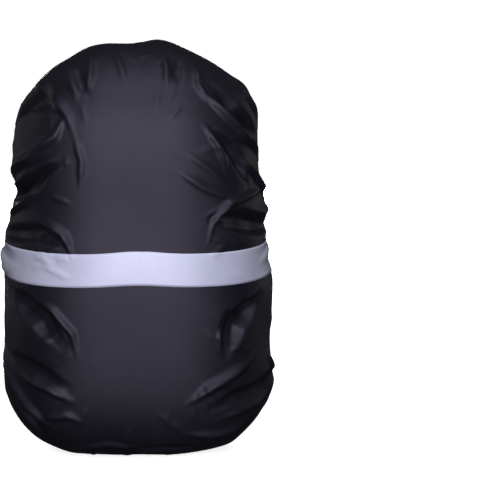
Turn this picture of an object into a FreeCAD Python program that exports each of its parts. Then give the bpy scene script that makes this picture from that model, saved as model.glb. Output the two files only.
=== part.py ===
"""Rain cover for a large rucksack, filled out to its worn shape and standing on its base.

The cover is a coated cloth shell with a gathered opening in its back. A grey binding folded round an elastic
edges the opening, a reflective band runs round the front from hem to hem, and two webbing straps with side-release
buckles cross the opening. Its zipped storage pouch hangs from a tape on the hem.

Frame: +Z is up, the front faces -Y, and the opening faces +Y. The origin is the middle of the object's footprint, at
the foot. Everything is modelled about the middle of the cover's width first, and moved to that origin at the end.
Millimetres throughout.
"""

import FreeCAD
import Part

import math
import os

Vec = FreeCAD.Vector

# ---- Driving dimensions ----------------------------------------------------------------------------------------

# Shell, filled out.
COVER_WIDTH = 410.0
COVER_HEIGHT = 620.0
FRONT_DEPTH = 132.0  # from the plane y = 0 to the middle of the front
BACK_DEPTH = 118.0  # from the plane y = 0 to the flat back
WALL = 2.0  # stands for the cloth with its folds
WIDEST_Y = 22.0  # the plane where the cover is widest
BACK_SWELL = 16.0  # how far the back would swell past the flat that the hem lies in
FOOT_RISE = 110.0  # height of the rounded lower edge
FOOT_SHARE = 0.52  # the flat foot's share of the full width and depth
CROWN_RISE = 172.0  # height of the rounded top
CROWN_CAP = 0.995  # how much of the crown's rise is rounded before its small flat cap
TOP_TAPER = 0.91  # width where the crown starts, as a share of the full width
LEAN = 0.90  # front depth where the crown starts, as a share of the full depth

# Opening and hem.
SIDE_CLOTH = 81.0  # cloth left beside the opening, seen from behind
TOP_CLOTH = 155.0
FOOT_CLOTH = 147.0
OPENING_POWER = 1.78  # under 2 makes the oval a rounded diamond
TAPE_THICK = 1.2  # binding tape
HEM_WIDTH = 11.0
ELASTIC_WIDTH = 4.0
FIT_GAP = 0.3  # between cloth pieces that don't touch

# Reflective band.
BAND_HEIGHT = 50.0
BAND_DROP = 16.0  # from the opening's middle down to the band's
BAND_THICK = 0.7

# Sealing tape over the corner darts, inside.
SEAM_WIDTH = 20.0
SEAM_THICK = 0.5
SEAM_FRONT_Y = -70.0  # where each dart ends on the front corner

# Webbing.
WEB_WIDTH = 25.0
WEB_THICK = 1.2
LAYER_GAP = 0.2  # between two layers of webbing
ANCHOR_LENGTH = 21.0  # from the hem's edge to the buckle
SEWN_LENGTH = 9.0  # webbing sewn down on the hem
TOP_TAIL_LENGTH = 165.0
SIDE_TAIL_LENGTH = 134.0
TAIL_FOLD = 9.0  # the doubled end of a tail
STITCH_THICK = 0.3
STITCH_WIDTH = 1.2
STITCH_INSET = 4.5  # stitch row from the webbing's end

# Side-release buckle. Lengths run along the strap, u, towards the anchor.
BUCKLE_THICK = 8.0
BUCKLE_RAIL = 3.2  # side rail of the plug
SLOT_SIDE = 0.9  # room beside the webbing in a slot
SOCKET_END_U = 23.0
PLUG_END_U = -23.4
PLATE = 1.6  # socket's face plates
PRONG_WIDTH = 2.2
PRONG_GAP = 0.2
PLUG_TRAVEL = 26.0
TAIL_GAP = 1.4  # below the buckle, so that a tail can lift

# Pouch.
POUCH_WIDTH = 142.0
POUCH_HEIGHT = 204.0
POUCH_CLOTH = 1.2
POUCH_DROP = 30.0  # from the opening's middle down to the pouch
POUCH_EDGE = 3.0  # bound edge, in from the outline
POUCH_CLEAR = 0.7  # between the pouch and the buckle faces' plane
POUCH_TAPE_WIDTH = 13.0
ZIP_INSET = 5.0  # from the pouch's edge to the zip's edge
ZIP_TAPE_WIDTH = 8.0
ZIP_TAPE_THICK = 0.6
ZIP_COIL_WIDTH = 1.9
ZIP_COIL_THICK = 1.5
ZIP_END = 9.0  # from the pouch's ends to the stops
STOP_LENGTH = 3.0
SLIDER_WIDTH = 9.0
SLIDER_LENGTH = 11.0
SLIDER_THICK = 1.1  # each plate
BRIDGE_THICK = 1.2
BRIDGE_RISE = 2.4
PULL_WIDTH = 4.6
PULL_LENGTH = 26.0
PULL_THICK = 1.3

# ---- Sizes that follow ------------------------------------------------------------------------------------------

OPENING_WIDTH = COVER_WIDTH - 2 * SIDE_CLOTH
OPENING_HEIGHT = COVER_HEIGHT - TOP_CLOTH - FOOT_CLOTH
OPENING_Z = FOOT_CLOTH + OPENING_HEIGHT / 2
BAND_Z = OPENING_Z - BAND_DROP
HALF_WEB = WEB_WIDTH / 2
HEM_FACE_Y = BACK_DEPTH + TAPE_THICK  # outer face of the binding
SIDE_PLANE_Y = HEM_FACE_Y + LAYER_GAP  # under side of the horizontal strap
TOP_PLANE_Y = SIDE_PLANE_Y + WEB_THICK + LAYER_GAP  # under side of the vertical strap
SLOT_HALF = HALF_WEB + SLOT_SIDE
BUCKLE_HALF = SLOT_HALF + BUCKLE_RAIL
TOP_BUCKLE_Z = OPENING_Z + OPENING_HEIGHT / 2 - ANCHOR_LENGTH - SOCKET_END_U + 2.0
SIDE_BUCKLE_X = OPENING_WIDTH / 2 - ANCHOR_LENGTH - SOCKET_END_U + 2.0
POUCH_X = -(OPENING_WIDTH + HEM_WIDTH + POUCH_TAPE_WIDTH) / 2
POUCH_TOP_Z = OPENING_Z - POUCH_DROP
POUCH_BACK_Y = TOP_PLANE_Y + BUCKLE_THICK + POUCH_CLEAR
ZIP_X = POUCH_X + POUCH_WIDTH / 2 - ZIP_INSET - ZIP_TAPE_WIDTH - ZIP_COIL_WIDTH
ZIP_FACE_Y = POUCH_BACK_Y + 2 * POUCH_CLOTH
ZIP_TOP_Z = POUCH_TOP_Z - ZIP_END
ZIP_BOTTOM_Z = POUCH_TOP_Z - POUCH_HEIGHT + ZIP_END
ZIP_TRAVEL = ZIP_TOP_Z - ZIP_BOTTOM_Z - 2 * STOP_LENGTH - SLIDER_LENGTH - 2 * FIT_GAP
SLIDER_TOP_Z = ZIP_TOP_Z - STOP_LENGTH - FIT_GAP
PULL_PIVOT = Vec(
    ZIP_X,
    ZIP_FACE_Y + ZIP_TAPE_THICK + ZIP_COIL_THICK + FIT_GAP + SLIDER_THICK + BRIDGE_RISE / 2,
    SLIDER_TOP_Z - SLIDER_LENGTH / 2,
)
POUCH_PIVOT = Vec(POUCH_X, POUCH_BACK_Y, POUCH_TOP_Z)


# ---- Small tools ------------------------------------------------------------------------------------------------


def power(value, exponent):
    """The value's size to a power, with its own sign."""
    return math.copysign(abs(value) ** exponent, value)


def box(x0, x1, y0, y1, z0, z1):
    return Part.makeBox(x1 - x0, y1 - y0, z1 - z0, Vec(x0, y0, z0))


def closed_curve(points):
    """A smooth closed wire through the points."""
    curve = Part.BSplineCurve()
    curve.interpolate(Points=points, PeriodicFlag=True)
    return Part.Wire([curve.toShape()])


def prism(points, direction):
    """A polygon carried along a direction."""
    return Part.Face(Part.makePolygon(points + points[:1])).extrude(direction)


def thick_line(line, thick):
    """Both sides of a 2D line of the given thickness, mitred at its corners, as one outline."""
    left, right = [], []
    for i, (a, b) in enumerate(line):
        before = line[max(i - 1, 0)]
        after = line[min(i + 1, len(line) - 1)]
        turns = []
        for p, q in ((before, (a, b)), ((a, b), after)):
            length = math.hypot(q[0] - p[0], q[1] - p[1])
            if length > 0:
                turns.append(((p[1] - q[1]) / length, (q[0] - p[0]) / length))
        nx = sum(t[0] for t in turns) / len(turns)
        ny = sum(t[1] for t in turns) / len(turns)
        reach = thick / 2 / (nx * nx + ny * ny)
        left.append((a + nx * reach, b + ny * reach))
        right.append((a - nx * reach, b - ny * reach))
    return left + right[::-1]


def arc(centre, radius, start, end, steps):
    """Points on an arc, from one angle to another in degrees."""
    turns = [math.radians(start + (end - start) * i / steps) for i in range(steps + 1)]
    return [(centre[0] + radius * math.cos(t), centre[1] + radius * math.sin(t)) for t in turns]


class Local:
    """A buckle's own axes: u along the strap towards its anchor, v across it, w away from the cover."""

    def __init__(self, origin, u, v, w):
        self.origin, self.u, self.v, self.w = origin, u, v, w
        self.drop = origin.y - SIDE_PLANE_Y  # from this strap's plane down to the hem's

    def at(self, u, v, w):
        return self.origin + self.u * u + self.v * v + self.w * w

    def plate(self, outline, w0, w1):
        """A (u, v) outline as a solid from w0 to w1."""
        return prism([self.at(u, v, w0) for u, v in outline], self.w * (w1 - w0))

    def ribbon(self, line, thick, width):
        """Webbing whose edge follows a (u, w) line."""
        edge = thick_line(line, thick)
        return prism([self.at(u, -width / 2, w) for u, w in edge], self.v * width)


def both_sides(outline):
    """A (u, v) outline with its mirror image across the strap's middle."""
    return [outline, [(u, -v) for u, v in outline]]


# ---- Shell ------------------------------------------------------------------------------------------------------


def swell(z):
    """How full the cover is at a height, from the foot's share to 1 and back to the small cap."""
    crown_start = COVER_HEIGHT - CROWN_RISE
    if z < FOOT_RISE:
        q = 1 - z / FOOT_RISE
        return FOOT_SHARE + (1 - FOOT_SHARE) * math.sqrt(1 - q**2)
    if z > crown_start:
        q = CROWN_CAP * (z - crown_start) / CROWN_RISE
        return (1 - q**2.2) ** (1 / 2.2)
    return 1.0


def taper(z, end):
    """Falls smoothly from 1 at a third of the height to its end share where the crown starts."""
    start = COVER_HEIGHT / 3
    t = min(max((z - start) / (COVER_HEIGHT - CROWN_RISE - start), 0.0), 1.0)
    return 1 - (1 - end) * t * t * (3 - 2 * t)


def section(z, inset, height):
    """The closed outline of the cover at a height, moved in by an inset. It is flat in front and boxy behind."""
    full = swell(z)
    half = COVER_WIDTH / 2 * taper(z, TOP_TAPER) * full - inset
    front = (FRONT_DEPTH * taper(z, LEAN) + WIDEST_Y) * full - inset
    back = (BACK_DEPTH + BACK_SWELL - WIDEST_Y) * full - inset
    count = 28
    points = []
    for i in range(count):
        turn = 2 * math.pi * i / count
        c, s = math.cos(turn), math.sin(turn)
        if s < 0:
            points.append(Vec(half * power(c, 2 / 3.0), WIDEST_Y + front * s, height))
        else:
            points.append(Vec(half * power(c, 2 / 3.5), WIDEST_Y + back * power(s, 0.8), height))
    return closed_curve(points)


def filled_shape(inset):
    """The solid inside the cover's surface moved in by an inset, cut flat at the back."""
    steps = 18
    wires = []
    for i in range(steps + 1):
        z = COVER_HEIGHT * (1 - math.cos(math.pi * i / steps)) / 2
        height = inset + (COVER_HEIGHT - 2 * inset) * z / COVER_HEIGHT
        wires.append(section(z, inset, height))
    solid = Part.makeLoft(wires, True, False)
    reach = COVER_WIDTH + COVER_HEIGHT
    return solid.common(box(-reach, reach, -reach, BACK_DEPTH - inset, -reach, reach))


def opening_wire(offset, y):
    """The opening's rounded diamond, moved outwards by an offset, at a depth."""
    a, b = OPENING_WIDTH / 2, OPENING_HEIGHT / 2
    count = 28
    points = []
    for i in range(count):
        turn = 2 * math.pi * i / count
        x = power(math.cos(turn), 2 / OPENING_POWER)
        z = power(math.sin(turn), 2 / OPENING_POWER)
        out = Vec(power(x, OPENING_POWER - 1) / a, 0, power(z, OPENING_POWER - 1) / b).normalize()
        points.append(Vec(a * x, y, OPENING_Z + b * z) + out * offset)
    return closed_curve(points)


def ring(inner, outer, y0, y1):
    """The flat ring between two offsets of the opening's outline, from y0 to y1."""
    solid = Part.Face(opening_wire(outer, y0)).extrude(Vec(0, y1 - y0, 0))
    return solid.cut(Part.Face(opening_wire(inner, y0 - 1)).extrude(Vec(0, y1 - y0 + 2, 0)))


def make_shell():
    """Upper and lower cloth, joined under the reflective band, and the band with the four sealing tapes."""
    outer, inner = filled_shape(0.0), filled_shape(WALL)
    reach = COVER_WIDTH + COVER_HEIGHT
    hole = Part.Face(opening_wire(ELASTIC_WIDTH + FIT_GAP, 0)).extrude(Vec(0, reach, 0))
    inner_leaf = ring(0, HEM_WIDTH, BACK_DEPTH - WALL - TAPE_THICK, BACK_DEPTH - WALL)
    wall = outer.cut(inner).cut(hole).cut(inner_leaf).removeSplitter()
    upper = wall.common(box(-reach, reach, -reach, reach, BAND_Z, reach))
    lower = wall.common(box(-reach, reach, -reach, reach, -reach, BAND_Z))

    skin = filled_shape(-BAND_THICK).cut(outer)
    level = box(-reach, reach, -reach, reach, BAND_Z - BAND_HEIGHT / 2, BAND_Z + BAND_HEIGHT / 2)
    hem = Part.Face(opening_wire(HEM_WIDTH + FIT_GAP, 0)).extrude(Vec(0, reach, 0))
    band = skin.common(level).cut(hem)

    lining = inner.cut(filled_shape(WALL + SEAM_THICK)).cut(hem)
    lining = lining.cut(box(-reach, reach, -reach, SEAM_FRONT_Y, -reach, reach))
    tapes = {}
    rise = math.degrees(math.atan2(COVER_HEIGHT / 2 - CROWN_RISE / 3, COVER_WIDTH / 2))
    for name, angle in (
        ("upper_right_seam_tape", rise),
        ("upper_left_seam_tape", 180 - rise),
        ("lower_left_seam_tape", 180 + rise),
        ("lower_right_seam_tape", -rise),
    ):
        arm = box(0, reach, -reach, reach, -SEAM_WIDTH / 2, SEAM_WIDTH / 2)
        arm.rotate(Vec(0, 0, 0), Vec(0, -1, 0), angle)
        arm.translate(Vec(0, 0, OPENING_Z))
        tapes[name] = lining.common(arm)
    return {"upper_shell": upper, "lower_shell": lower, "reflective_band": band, **tapes}


def make_hem():
    """Grey binding folded round the cloth's edge, with the elastic inside its fold."""
    inside, outside = BACK_DEPTH - WALL, BACK_DEPTH
    web = ring(-TAPE_THICK, 0, inside - TAPE_THICK, outside + TAPE_THICK)
    outer_leaf = ring(0, HEM_WIDTH, outside, outside + TAPE_THICK)
    inner_leaf = ring(0, HEM_WIDTH, inside - TAPE_THICK, inside)
    binding = web.fuse([outer_leaf, inner_leaf]).removeSplitter()
    return {"hem_binding": binding, "hem_elastic": ring(0, ELASTIC_WIDTH, inside, outside)}


# ---- Buckles and webbing ----------------------------------------------------------------------------------------

MID_W = BUCKLE_THICK / 2
CHANNEL_OUT = BUCKLE_HALF - 1.0
PRONG_MID = BUCKLE_HALF - 3.9
CORE_HALF = PRONG_MID - 5.8  # solid middle of the socket, beside its centre slot
MOUTH_HALF = PRONG_MID - 3.4  # the notch between the prongs, at the mouth
PRONG_ROOT_U = -9.0


def make_socket(axes):
    """The half that stays on the anchor: an hourglass housing with side windows, a centre slot and a notched mouth."""
    notch = [(0.0, 0.24), (-2.5, 0.36), (-5.0, 0.56), (-7.0, 0.8), (-8.5, 1.0)]
    notch = [(u, v * MOUTH_HALF) for u, v in notch]
    waist = arc((5.6, BUCKLE_HALF + 1.0), 7.9, -38, -142, 8)
    side = [
        (SOCKET_END_U, BUCKLE_HALF - 3.0),
        (SOCKET_END_U - 2.0, BUCKLE_HALF - 0.6),
        (SOCKET_END_U - 6.0, BUCKLE_HALF),
        (13.4, BUCKLE_HALF - 0.8),
        *waist,
        (-0.8, BUCKLE_HALF),
        (-8.5, BUCKLE_HALF),
    ]
    half = side + notch[::-1]
    outline = half + [(u, -v) for u, v in half[::-1]]
    body = axes.plate(outline, 0, BUCKLE_THICK)
    chamber = [
        (-9.0, PRONG_MID - 2.4),
        (-9.0, CHANNEL_OUT),
        (0.3, CHANNEL_OUT),
        (0.3, BUCKLE_HALF + 4),
        (10.2, BUCKLE_HALF + 4),
        (10.2, PRONG_MID + 1.6),
        (13.2, PRONG_MID + 1.6),
        (13.2, CORE_HALF),
        (1.5, CORE_HALF),
        (-4.0, PRONG_MID - 4.3),
    ]
    for outline in both_sides(chamber):
        body = body.cut(axes.plate(outline, PLATE, BUCKLE_THICK - PLATE))
    slot = [(1.8, -2.2), (11.4, -2.2), (11.4, 2.2), (1.8, 2.2)]
    body = body.cut(axes.plate(slot, -1, BUCKLE_THICK + 1))
    web_slot = [(17.0, -SLOT_HALF), (19.4, -SLOT_HALF), (19.4, SLOT_HALF), (17.0, SLOT_HALF)]
    body = body.cut(axes.plate(web_slot, -1, BUCKLE_THICK + 1))
    bar = [(17.0, -SLOT_HALF), (SOCKET_END_U + 1, -SLOT_HALF), (SOCKET_END_U + 1, SLOT_HALF), (17.0, SLOT_HALF)]
    body = body.cut(axes.plate(bar, -1, 2.4))
    return body.cut(axes.plate(bar, BUCKLE_THICK - 2.4, BUCKLE_THICK + 1)).removeSplitter()


def make_plug(axes):
    """The half on the strap: a ladder frame with a centre bar and an end bar, and a stub for each prong."""
    corner = 3.0
    end = PLUG_END_U
    side = [(PRONG_ROOT_U - 0.3, BUCKLE_HALF), (end + corner, BUCKLE_HALF)]
    side += [(end + corner + u, BUCKLE_HALF - corner + v) for u, v in arc((0, 0), corner, 90, 180, 5)][1:]
    outline = side + [(u, -v) for u, v in side[::-1]]
    body = axes.plate(outline, 0, BUCKLE_THICK - 0.4)
    window = [(PRONG_ROOT_U + 1, -SLOT_HALF), (-19.8, -SLOT_HALF), (-19.8, SLOT_HALF), (PRONG_ROOT_U + 1, SLOT_HALF)]
    body = body.cut(axes.plate(window, -1, BUCKLE_THICK + 1))
    centre_bar = [(-10.9, -SLOT_HALF), (-16.6, -SLOT_HALF), (-16.6, SLOT_HALF), (-10.9, SLOT_HALF)]
    body = body.fuse(axes.plate(centre_bar, 1.6, 4.4))
    under = [(end - 1, -SLOT_HALF), (-19.0, -SLOT_HALF), (-19.0, SLOT_HALF), (end - 1, SLOT_HALF)]
    body = body.cut(axes.plate(under, -1, 2 * WEB_THICK + 2 * LAYER_GAP))
    return body.removeSplitter()


def prong_line():
    """Middle line of one prong, from its root along the socket's channel, out into the window and in to its tip."""
    root = (PRONG_ROOT_U, PRONG_MID)
    bulge = arc((4.8, PRONG_MID - 8.4), 10.1, 125, 52, 6)
    return [root, (-4.5, PRONG_MID - 0.3), *bulge, (12.0, PRONG_MID - 1.7)]


def make_prongs(axes):
    outline = thick_line(prong_line(), PRONG_WIDTH)
    low, high = PLATE + PRONG_GAP, BUCKLE_THICK - PLATE - PRONG_GAP
    return [axes.plate(o, low, high) for o in both_sides(outline)]


def anchor_loop(axes, hem_u):
    """Short webbing looped round the socket's bar, with both ends sewn on the hem."""
    rise = (BUCKLE_THICK - 4.8) / 2 + LAYER_GAP + WEB_THICK / 2
    turn_u = (17.0 + 19.4) / 2 + 0.1
    low = WEB_THICK / 2 - axes.drop
    high = low + WEB_THICK + LAYER_GAP
    start, far = hem_u + SEWN_LENGTH, SOCKET_END_U + 1.5
    lower = [(start, low), (hem_u - 6, low), (far, MID_W - rise), (turn_u + 0.9, MID_W - rise)]
    turn = [(turn_u, MID_W - rise + 0.9), (turn_u, MID_W + rise - 0.9)]
    upper = [(turn_u + 0.9, MID_W + rise), (far, MID_W + rise), (hem_u - 6, high + 0.4)]
    upper += [(hem_u - 2, high), (start, high)]
    return axes.ribbon(lower + turn + upper, WEB_THICK, WEB_WIDTH)


def strap_wrap(axes):
    """Webbing over the plug's centre bar: up behind it, over it, and down under the end bar."""
    low, tail = WEB_THICK / 2, 1.5 * WEB_THICK + LAYER_GAP
    over = 4.4 + LAYER_GAP + WEB_THICK / 2
    line = [(-10.2, low), (-10.0, over - 1.0), (-10.6, over), (-17.0, over), (-17.9, over - 1.0)]
    line += [(-18.4, tail + 0.6), (-19.2, tail), (PLUG_END_U - 0.4, tail)]
    return axes.ribbon(line, WEB_THICK, WEB_WIDTH)


def stitch_row(axes, u, w):
    """One row of thread across webbing, standing on its face."""
    return axes.plate(
        [(u, 2 - HALF_WEB), (u + STITCH_WIDTH, 2 - HALF_WEB), (u + STITCH_WIDTH, HALF_WEB - 2), (u, HALF_WEB - 2)],
        w,
        w + STITCH_THICK,
    )


def strap_run(axes, sewn_u):
    """The strap from its sewn end to the plug. Its end lies on the hem, a layer below the rest."""
    mid, low = WEB_THICK / 2, WEB_THICK / 2 - axes.drop
    line = [(sewn_u - SEWN_LENGTH, low), (sewn_u + 4, low)]
    if axes.drop > 0:
        line.append((sewn_u + 40, mid))
    line.append((-10.2 - WEB_THICK / 2 - FIT_GAP, mid))
    return axes.ribbon(line, WEB_THICK, WEB_WIDTH)


def make_straps():
    """Both buckles with their webbing. The vertical strap lies over the horizontal one where they cross."""
    top = Local(Vec(0, TOP_PLANE_Y, TOP_BUCKLE_Z), Vec(0, 0, 1), Vec(1, 0, 0), Vec(0, 1, 0))
    side = Local(Vec(SIDE_BUCKLE_X, SIDE_PLANE_Y, OPENING_Z), Vec(1, 0, 0), Vec(0, 0, -1), Vec(0, 1, 0))
    nodes = {}
    for name, axes, far, sewn in (
        ("top", top, OPENING_HEIGHT / 2 - TOP_BUCKLE_Z + OPENING_Z, OPENING_Z - OPENING_HEIGHT / 2 - TOP_BUCKLE_Z),
        ("side", side, OPENING_WIDTH / 2 - SIDE_BUCKLE_X, -OPENING_WIDTH / 2 - SIDE_BUCKLE_X),
    ):
        nodes[f"{name}_anchor_webbing"] = anchor_loop(axes, far)
        nodes[f"{name}_buckle_socket"] = make_socket(axes)
        nodes[f"{name}_buckle_plug"] = make_plug(axes)
        first, second = make_prongs(axes)
        nodes[f"{name}_prong_a"], nodes[f"{name}_prong_b"] = first, second
        nodes[f"{name}_strap_wrap"] = strap_wrap(axes)
        nodes[f"{name}_strap"] = strap_run(axes, sewn)
        face = 2 * WEB_THICK + LAYER_GAP - axes.drop
        nodes[f"{name}_anchor_stitching"] = stitch_row(axes, far + STITCH_INSET, face)
        nodes[f"{name}_strap_stitching"] = stitch_row(
            axes, sewn - STITCH_INSET - STITCH_WIDTH, WEB_THICK - axes.drop
        )

    # The top tail hangs flat over its own strap.
    layer = 1.5 * WEB_THICK + LAYER_GAP
    start = PLUG_END_U - 0.4 - TAIL_GAP
    fold = layer + WEB_THICK + 0.05
    line = [(start, layer), (start - TOP_TAIL_LENGTH, layer)]
    flap = [(start - TOP_TAIL_LENGTH, fold), (start - TOP_TAIL_LENGTH + TAIL_FOLD, fold)]
    tail = top.ribbon(line, WEB_THICK, WEB_WIDTH).fuse(top.ribbon(flap, WEB_THICK + 0.1, WEB_WIDTH))
    nodes["top_strap_tail"] = tail.removeSplitter()
    face = fold + WEB_THICK / 2 + 0.05
    nodes["top_tail_stitching"] = stitch_row(top, start - TOP_TAIL_LENGTH + TAIL_FOLD - 3, face)

    # The side tail leaves the plug, lifts clear of the vertical strap, and hangs straight down.
    lifted = BUCKLE_THICK - 2.6
    out = PLUG_END_U - 0.4 - FIT_GAP
    turn = [(out, layer), (out - 3, layer + 0.4), (out - 8, lifted), (out - 30, lifted)]
    nodes["side_tail_turn"] = side.ribbon(turn, WEB_THICK, WEB_WIDTH)
    hang = side.at(out - 16.5, 0, lifted + WEB_THICK / 2 + LAYER_GAP)
    hung = Local(hang, Vec(0, 0, 1), Vec(1, 0, 0), Vec(0, 1, 0))
    line = [(-6, WEB_THICK / 2), (-SIDE_TAIL_LENGTH, WEB_THICK / 2)]
    fold = 1.5 * WEB_THICK + 0.05
    flap = [(-SIDE_TAIL_LENGTH, fold), (-SIDE_TAIL_LENGTH + TAIL_FOLD, fold)]
    tail = hung.ribbon(line, WEB_THICK, WEB_WIDTH).fuse(hung.ribbon(flap, WEB_THICK + 0.1, WEB_WIDTH))
    nodes["side_strap_tail"] = tail.removeSplitter()
    face = fold + WEB_THICK / 2 + 0.05
    nodes["side_tail_stitching"] = stitch_row(hung, -SIDE_TAIL_LENGTH + TAIL_FOLD - 3, face)

    # Where the joints turn.
    pivots = {
        "top_prong_a": top.at(PRONG_ROOT_U, PRONG_MID, MID_W),
        "top_prong_b": top.at(PRONG_ROOT_U, -PRONG_MID, MID_W),
        "side_prong_a": side.at(PRONG_ROOT_U, PRONG_MID, MID_W),
        "side_prong_b": side.at(PRONG_ROOT_U, -PRONG_MID, MID_W),
        "top_tail": top.at(start, 0, layer - WEB_THICK / 2),
        "side_tail": hung.at(-6, 0, 0),
    }
    return nodes, pivots


# ---- Pouch ------------------------------------------------------------------------------------------------------


def make_pouch():
    """A flat zipped pouch of two panels with a bound edge, hung from a tape on the hem."""
    x0, x1 = POUCH_X - POUCH_WIDTH / 2, POUCH_X + POUCH_WIDTH / 2
    z0, z1 = POUCH_TOP_Z - POUCH_HEIGHT, POUCH_TOP_Z
    y0 = POUCH_BACK_Y
    inner = (x0 + POUCH_EDGE, x1 - POUCH_EDGE)
    rise = (z0 + POUCH_EDGE, z1 - POUCH_EDGE)
    nodes = {
        "pouch_back_panel": box(*inner, y0, y0 + POUCH_CLOTH, *rise),
        "pouch_front_panel": box(*inner, y0 + POUCH_CLOTH, y0 + 2 * POUCH_CLOTH, *rise),
        "pouch_edge_binding": box(x0, x1, y0, y0 + 2 * POUCH_CLOTH, z0, z1).cut(
            box(*inner, y0 - 1, y0 + 2 * POUCH_CLOTH + 1, *rise)
        ),
    }
    tape_top, tape_low = ZIP_TOP_Z + 3, ZIP_BOTTOM_Z - 3
    face = ZIP_FACE_Y + ZIP_TAPE_THICK
    for side, name in ((-1, "left"), (1, "right")):
        near, far = ZIP_X, ZIP_X + side * (ZIP_COIL_WIDTH + ZIP_TAPE_WIDTH)
        nodes[f"zip_tape_{name}"] = box(min(near, far), max(near, far), ZIP_FACE_Y, face, tape_low, tape_top)
        far = ZIP_X + side * ZIP_COIL_WIDTH
        low, high = ZIP_BOTTOM_Z + STOP_LENGTH, ZIP_TOP_Z - STOP_LENGTH
        nodes[f"zip_coil_{name}"] = box(min(near, far), max(near, far), face, face + ZIP_COIL_THICK, low, high)
    left, right = ZIP_X - ZIP_COIL_WIDTH, ZIP_X + ZIP_COIL_WIDTH
    stop_face = face + ZIP_COIL_THICK + 0.5
    for name, low in (("zip_bottom_stop", ZIP_BOTTOM_Z), ("zip_top_stop", ZIP_TOP_Z - STOP_LENGTH)):
        nodes[name] = box(left, right, face, stop_face, low, low + STOP_LENGTH)

    # Slider: a cover plate with side flanges over the coil, and a bridge that carries the pull.
    top = face + ZIP_COIL_THICK + FIT_GAP
    z_high, z_low = SLIDER_TOP_Z, SLIDER_TOP_Z - SLIDER_LENGTH
    half = SLIDER_WIDTH / 2
    slider = box(ZIP_X - half, ZIP_X + half, top, top + SLIDER_THICK, z_low, z_high)
    for side in (-1, 1):
        a, b = ZIP_X + side * half, ZIP_X + side * (ZIP_COIL_WIDTH + FIT_GAP)
        slider = slider.fuse(box(min(a, b), max(a, b), face + FIT_GAP, top, z_low, z_high))
    base = top + SLIDER_THICK
    mid = SLIDER_TOP_Z - SLIDER_LENGTH / 2
    half_span = SLIDER_LENGTH / 2 - 1.5
    crest, shoulder = BRIDGE_RISE + 0.4, BRIDGE_RISE - 0.6
    rise = [(-half_span, 0), (-half_span, shoulder), (-half_span + 1, crest)]
    arch = thick_line(rise + [(-u, w) for u, w in rise[::-1]], BRIDGE_THICK)
    bridge = prism([Vec(ZIP_X - 0.8, base + w - 0.05, mid + u) for u, w in arch], Vec(1.6, 0, 0))
    nodes["zip_slider"] = slider.fuse(bridge).removeSplitter()

    # Pull: a flat tab whose eye goes round the bridge, and whose end bar turns under the bridge.
    half, bar = PULL_WIDTH / 2, PULL_THICK / 2
    y_mid = PULL_PIVOT.y
    tab = box(ZIP_X - half, ZIP_X + half, y_mid - bar, y_mid + bar, mid - PULL_LENGTH, mid + bar)
    eye = box(ZIP_X - 1.2, ZIP_X + 1.2, y_mid - 5, y_mid + 5, mid - half_span - 2.4, mid - bar)
    nodes["zip_pull"] = tab.cut(eye)

    # Tape from the hem to the pouch.
    hem_z = POUCH_TOP_Z + 14
    low, out = HEM_FACE_Y + LAYER_GAP + WEB_THICK / 2, POUCH_BACK_Y - FIT_GAP - WEB_THICK / 2
    line = [(low, hem_z), (low, hem_z - 8), (low + 0.8, hem_z - 10.5)]
    line += [(out - 0.8, POUCH_TOP_Z + 1), (out, POUCH_TOP_Z - 1.5), (out, POUCH_TOP_Z - 14)]
    edge = thick_line(line, WEB_THICK)
    left = POUCH_X - POUCH_TAPE_WIDTH / 2
    nodes["pouch_tape"] = prism([Vec(left, y, z) for y, z in edge], Vec(POUCH_TAPE_WIDTH, 0, 0))
    return nodes


# ---- Assembly ---------------------------------------------------------------------------------------------------


def build():
    """Every node by name, and every joint's pivot, about the origin at the middle of the footprint."""
    straps, pivots = make_straps()
    nodes = {**make_shell(), **make_hem(), **straps, **make_pouch()}
    pivots = {**pivots, "pouch": POUCH_PIVOT, "zip_pull": PULL_PIVOT}
    whole = Part.makeCompound(list(nodes.values())).BoundBox
    shift = Vec(-(whole.XMin + whole.XMax) / 2, -(whole.YMin + whole.YMax) / 2, -whole.ZMin)
    for shape in nodes.values():
        shape.translate(shift)
    return nodes, {name: point + shift for name, point in pivots.items()}, shift


def main():
    os.makedirs("parts", exist_ok=True)
    nodes, pivots, shift = build()
    for name, shape in nodes.items():
        shape.exportStep(f"parts/{name}.step")
        solids = shape.Solids
        good = shape.isValid() and all(s.Volume > 0 for s in solids)
        print(f"{name}: {len(solids)} solids, {shape.Volume:.0f} mm3, {'valid' if good else 'NOT VALID'}")
    print("shift", shift)


if __name__ == "__main__":
    main()
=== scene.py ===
"""Rain cover for a large rucksack, filled out and standing on its base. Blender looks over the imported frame.

The cloth is a grid that runs from the gathered hem round the sides to the middle of the front. Its folds are laid in,
then the cloth is relaxed until every thread of it has its cut length again. Lengths are in millimetres in the shape
functions and in metres in Blender.
"""

import math

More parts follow.
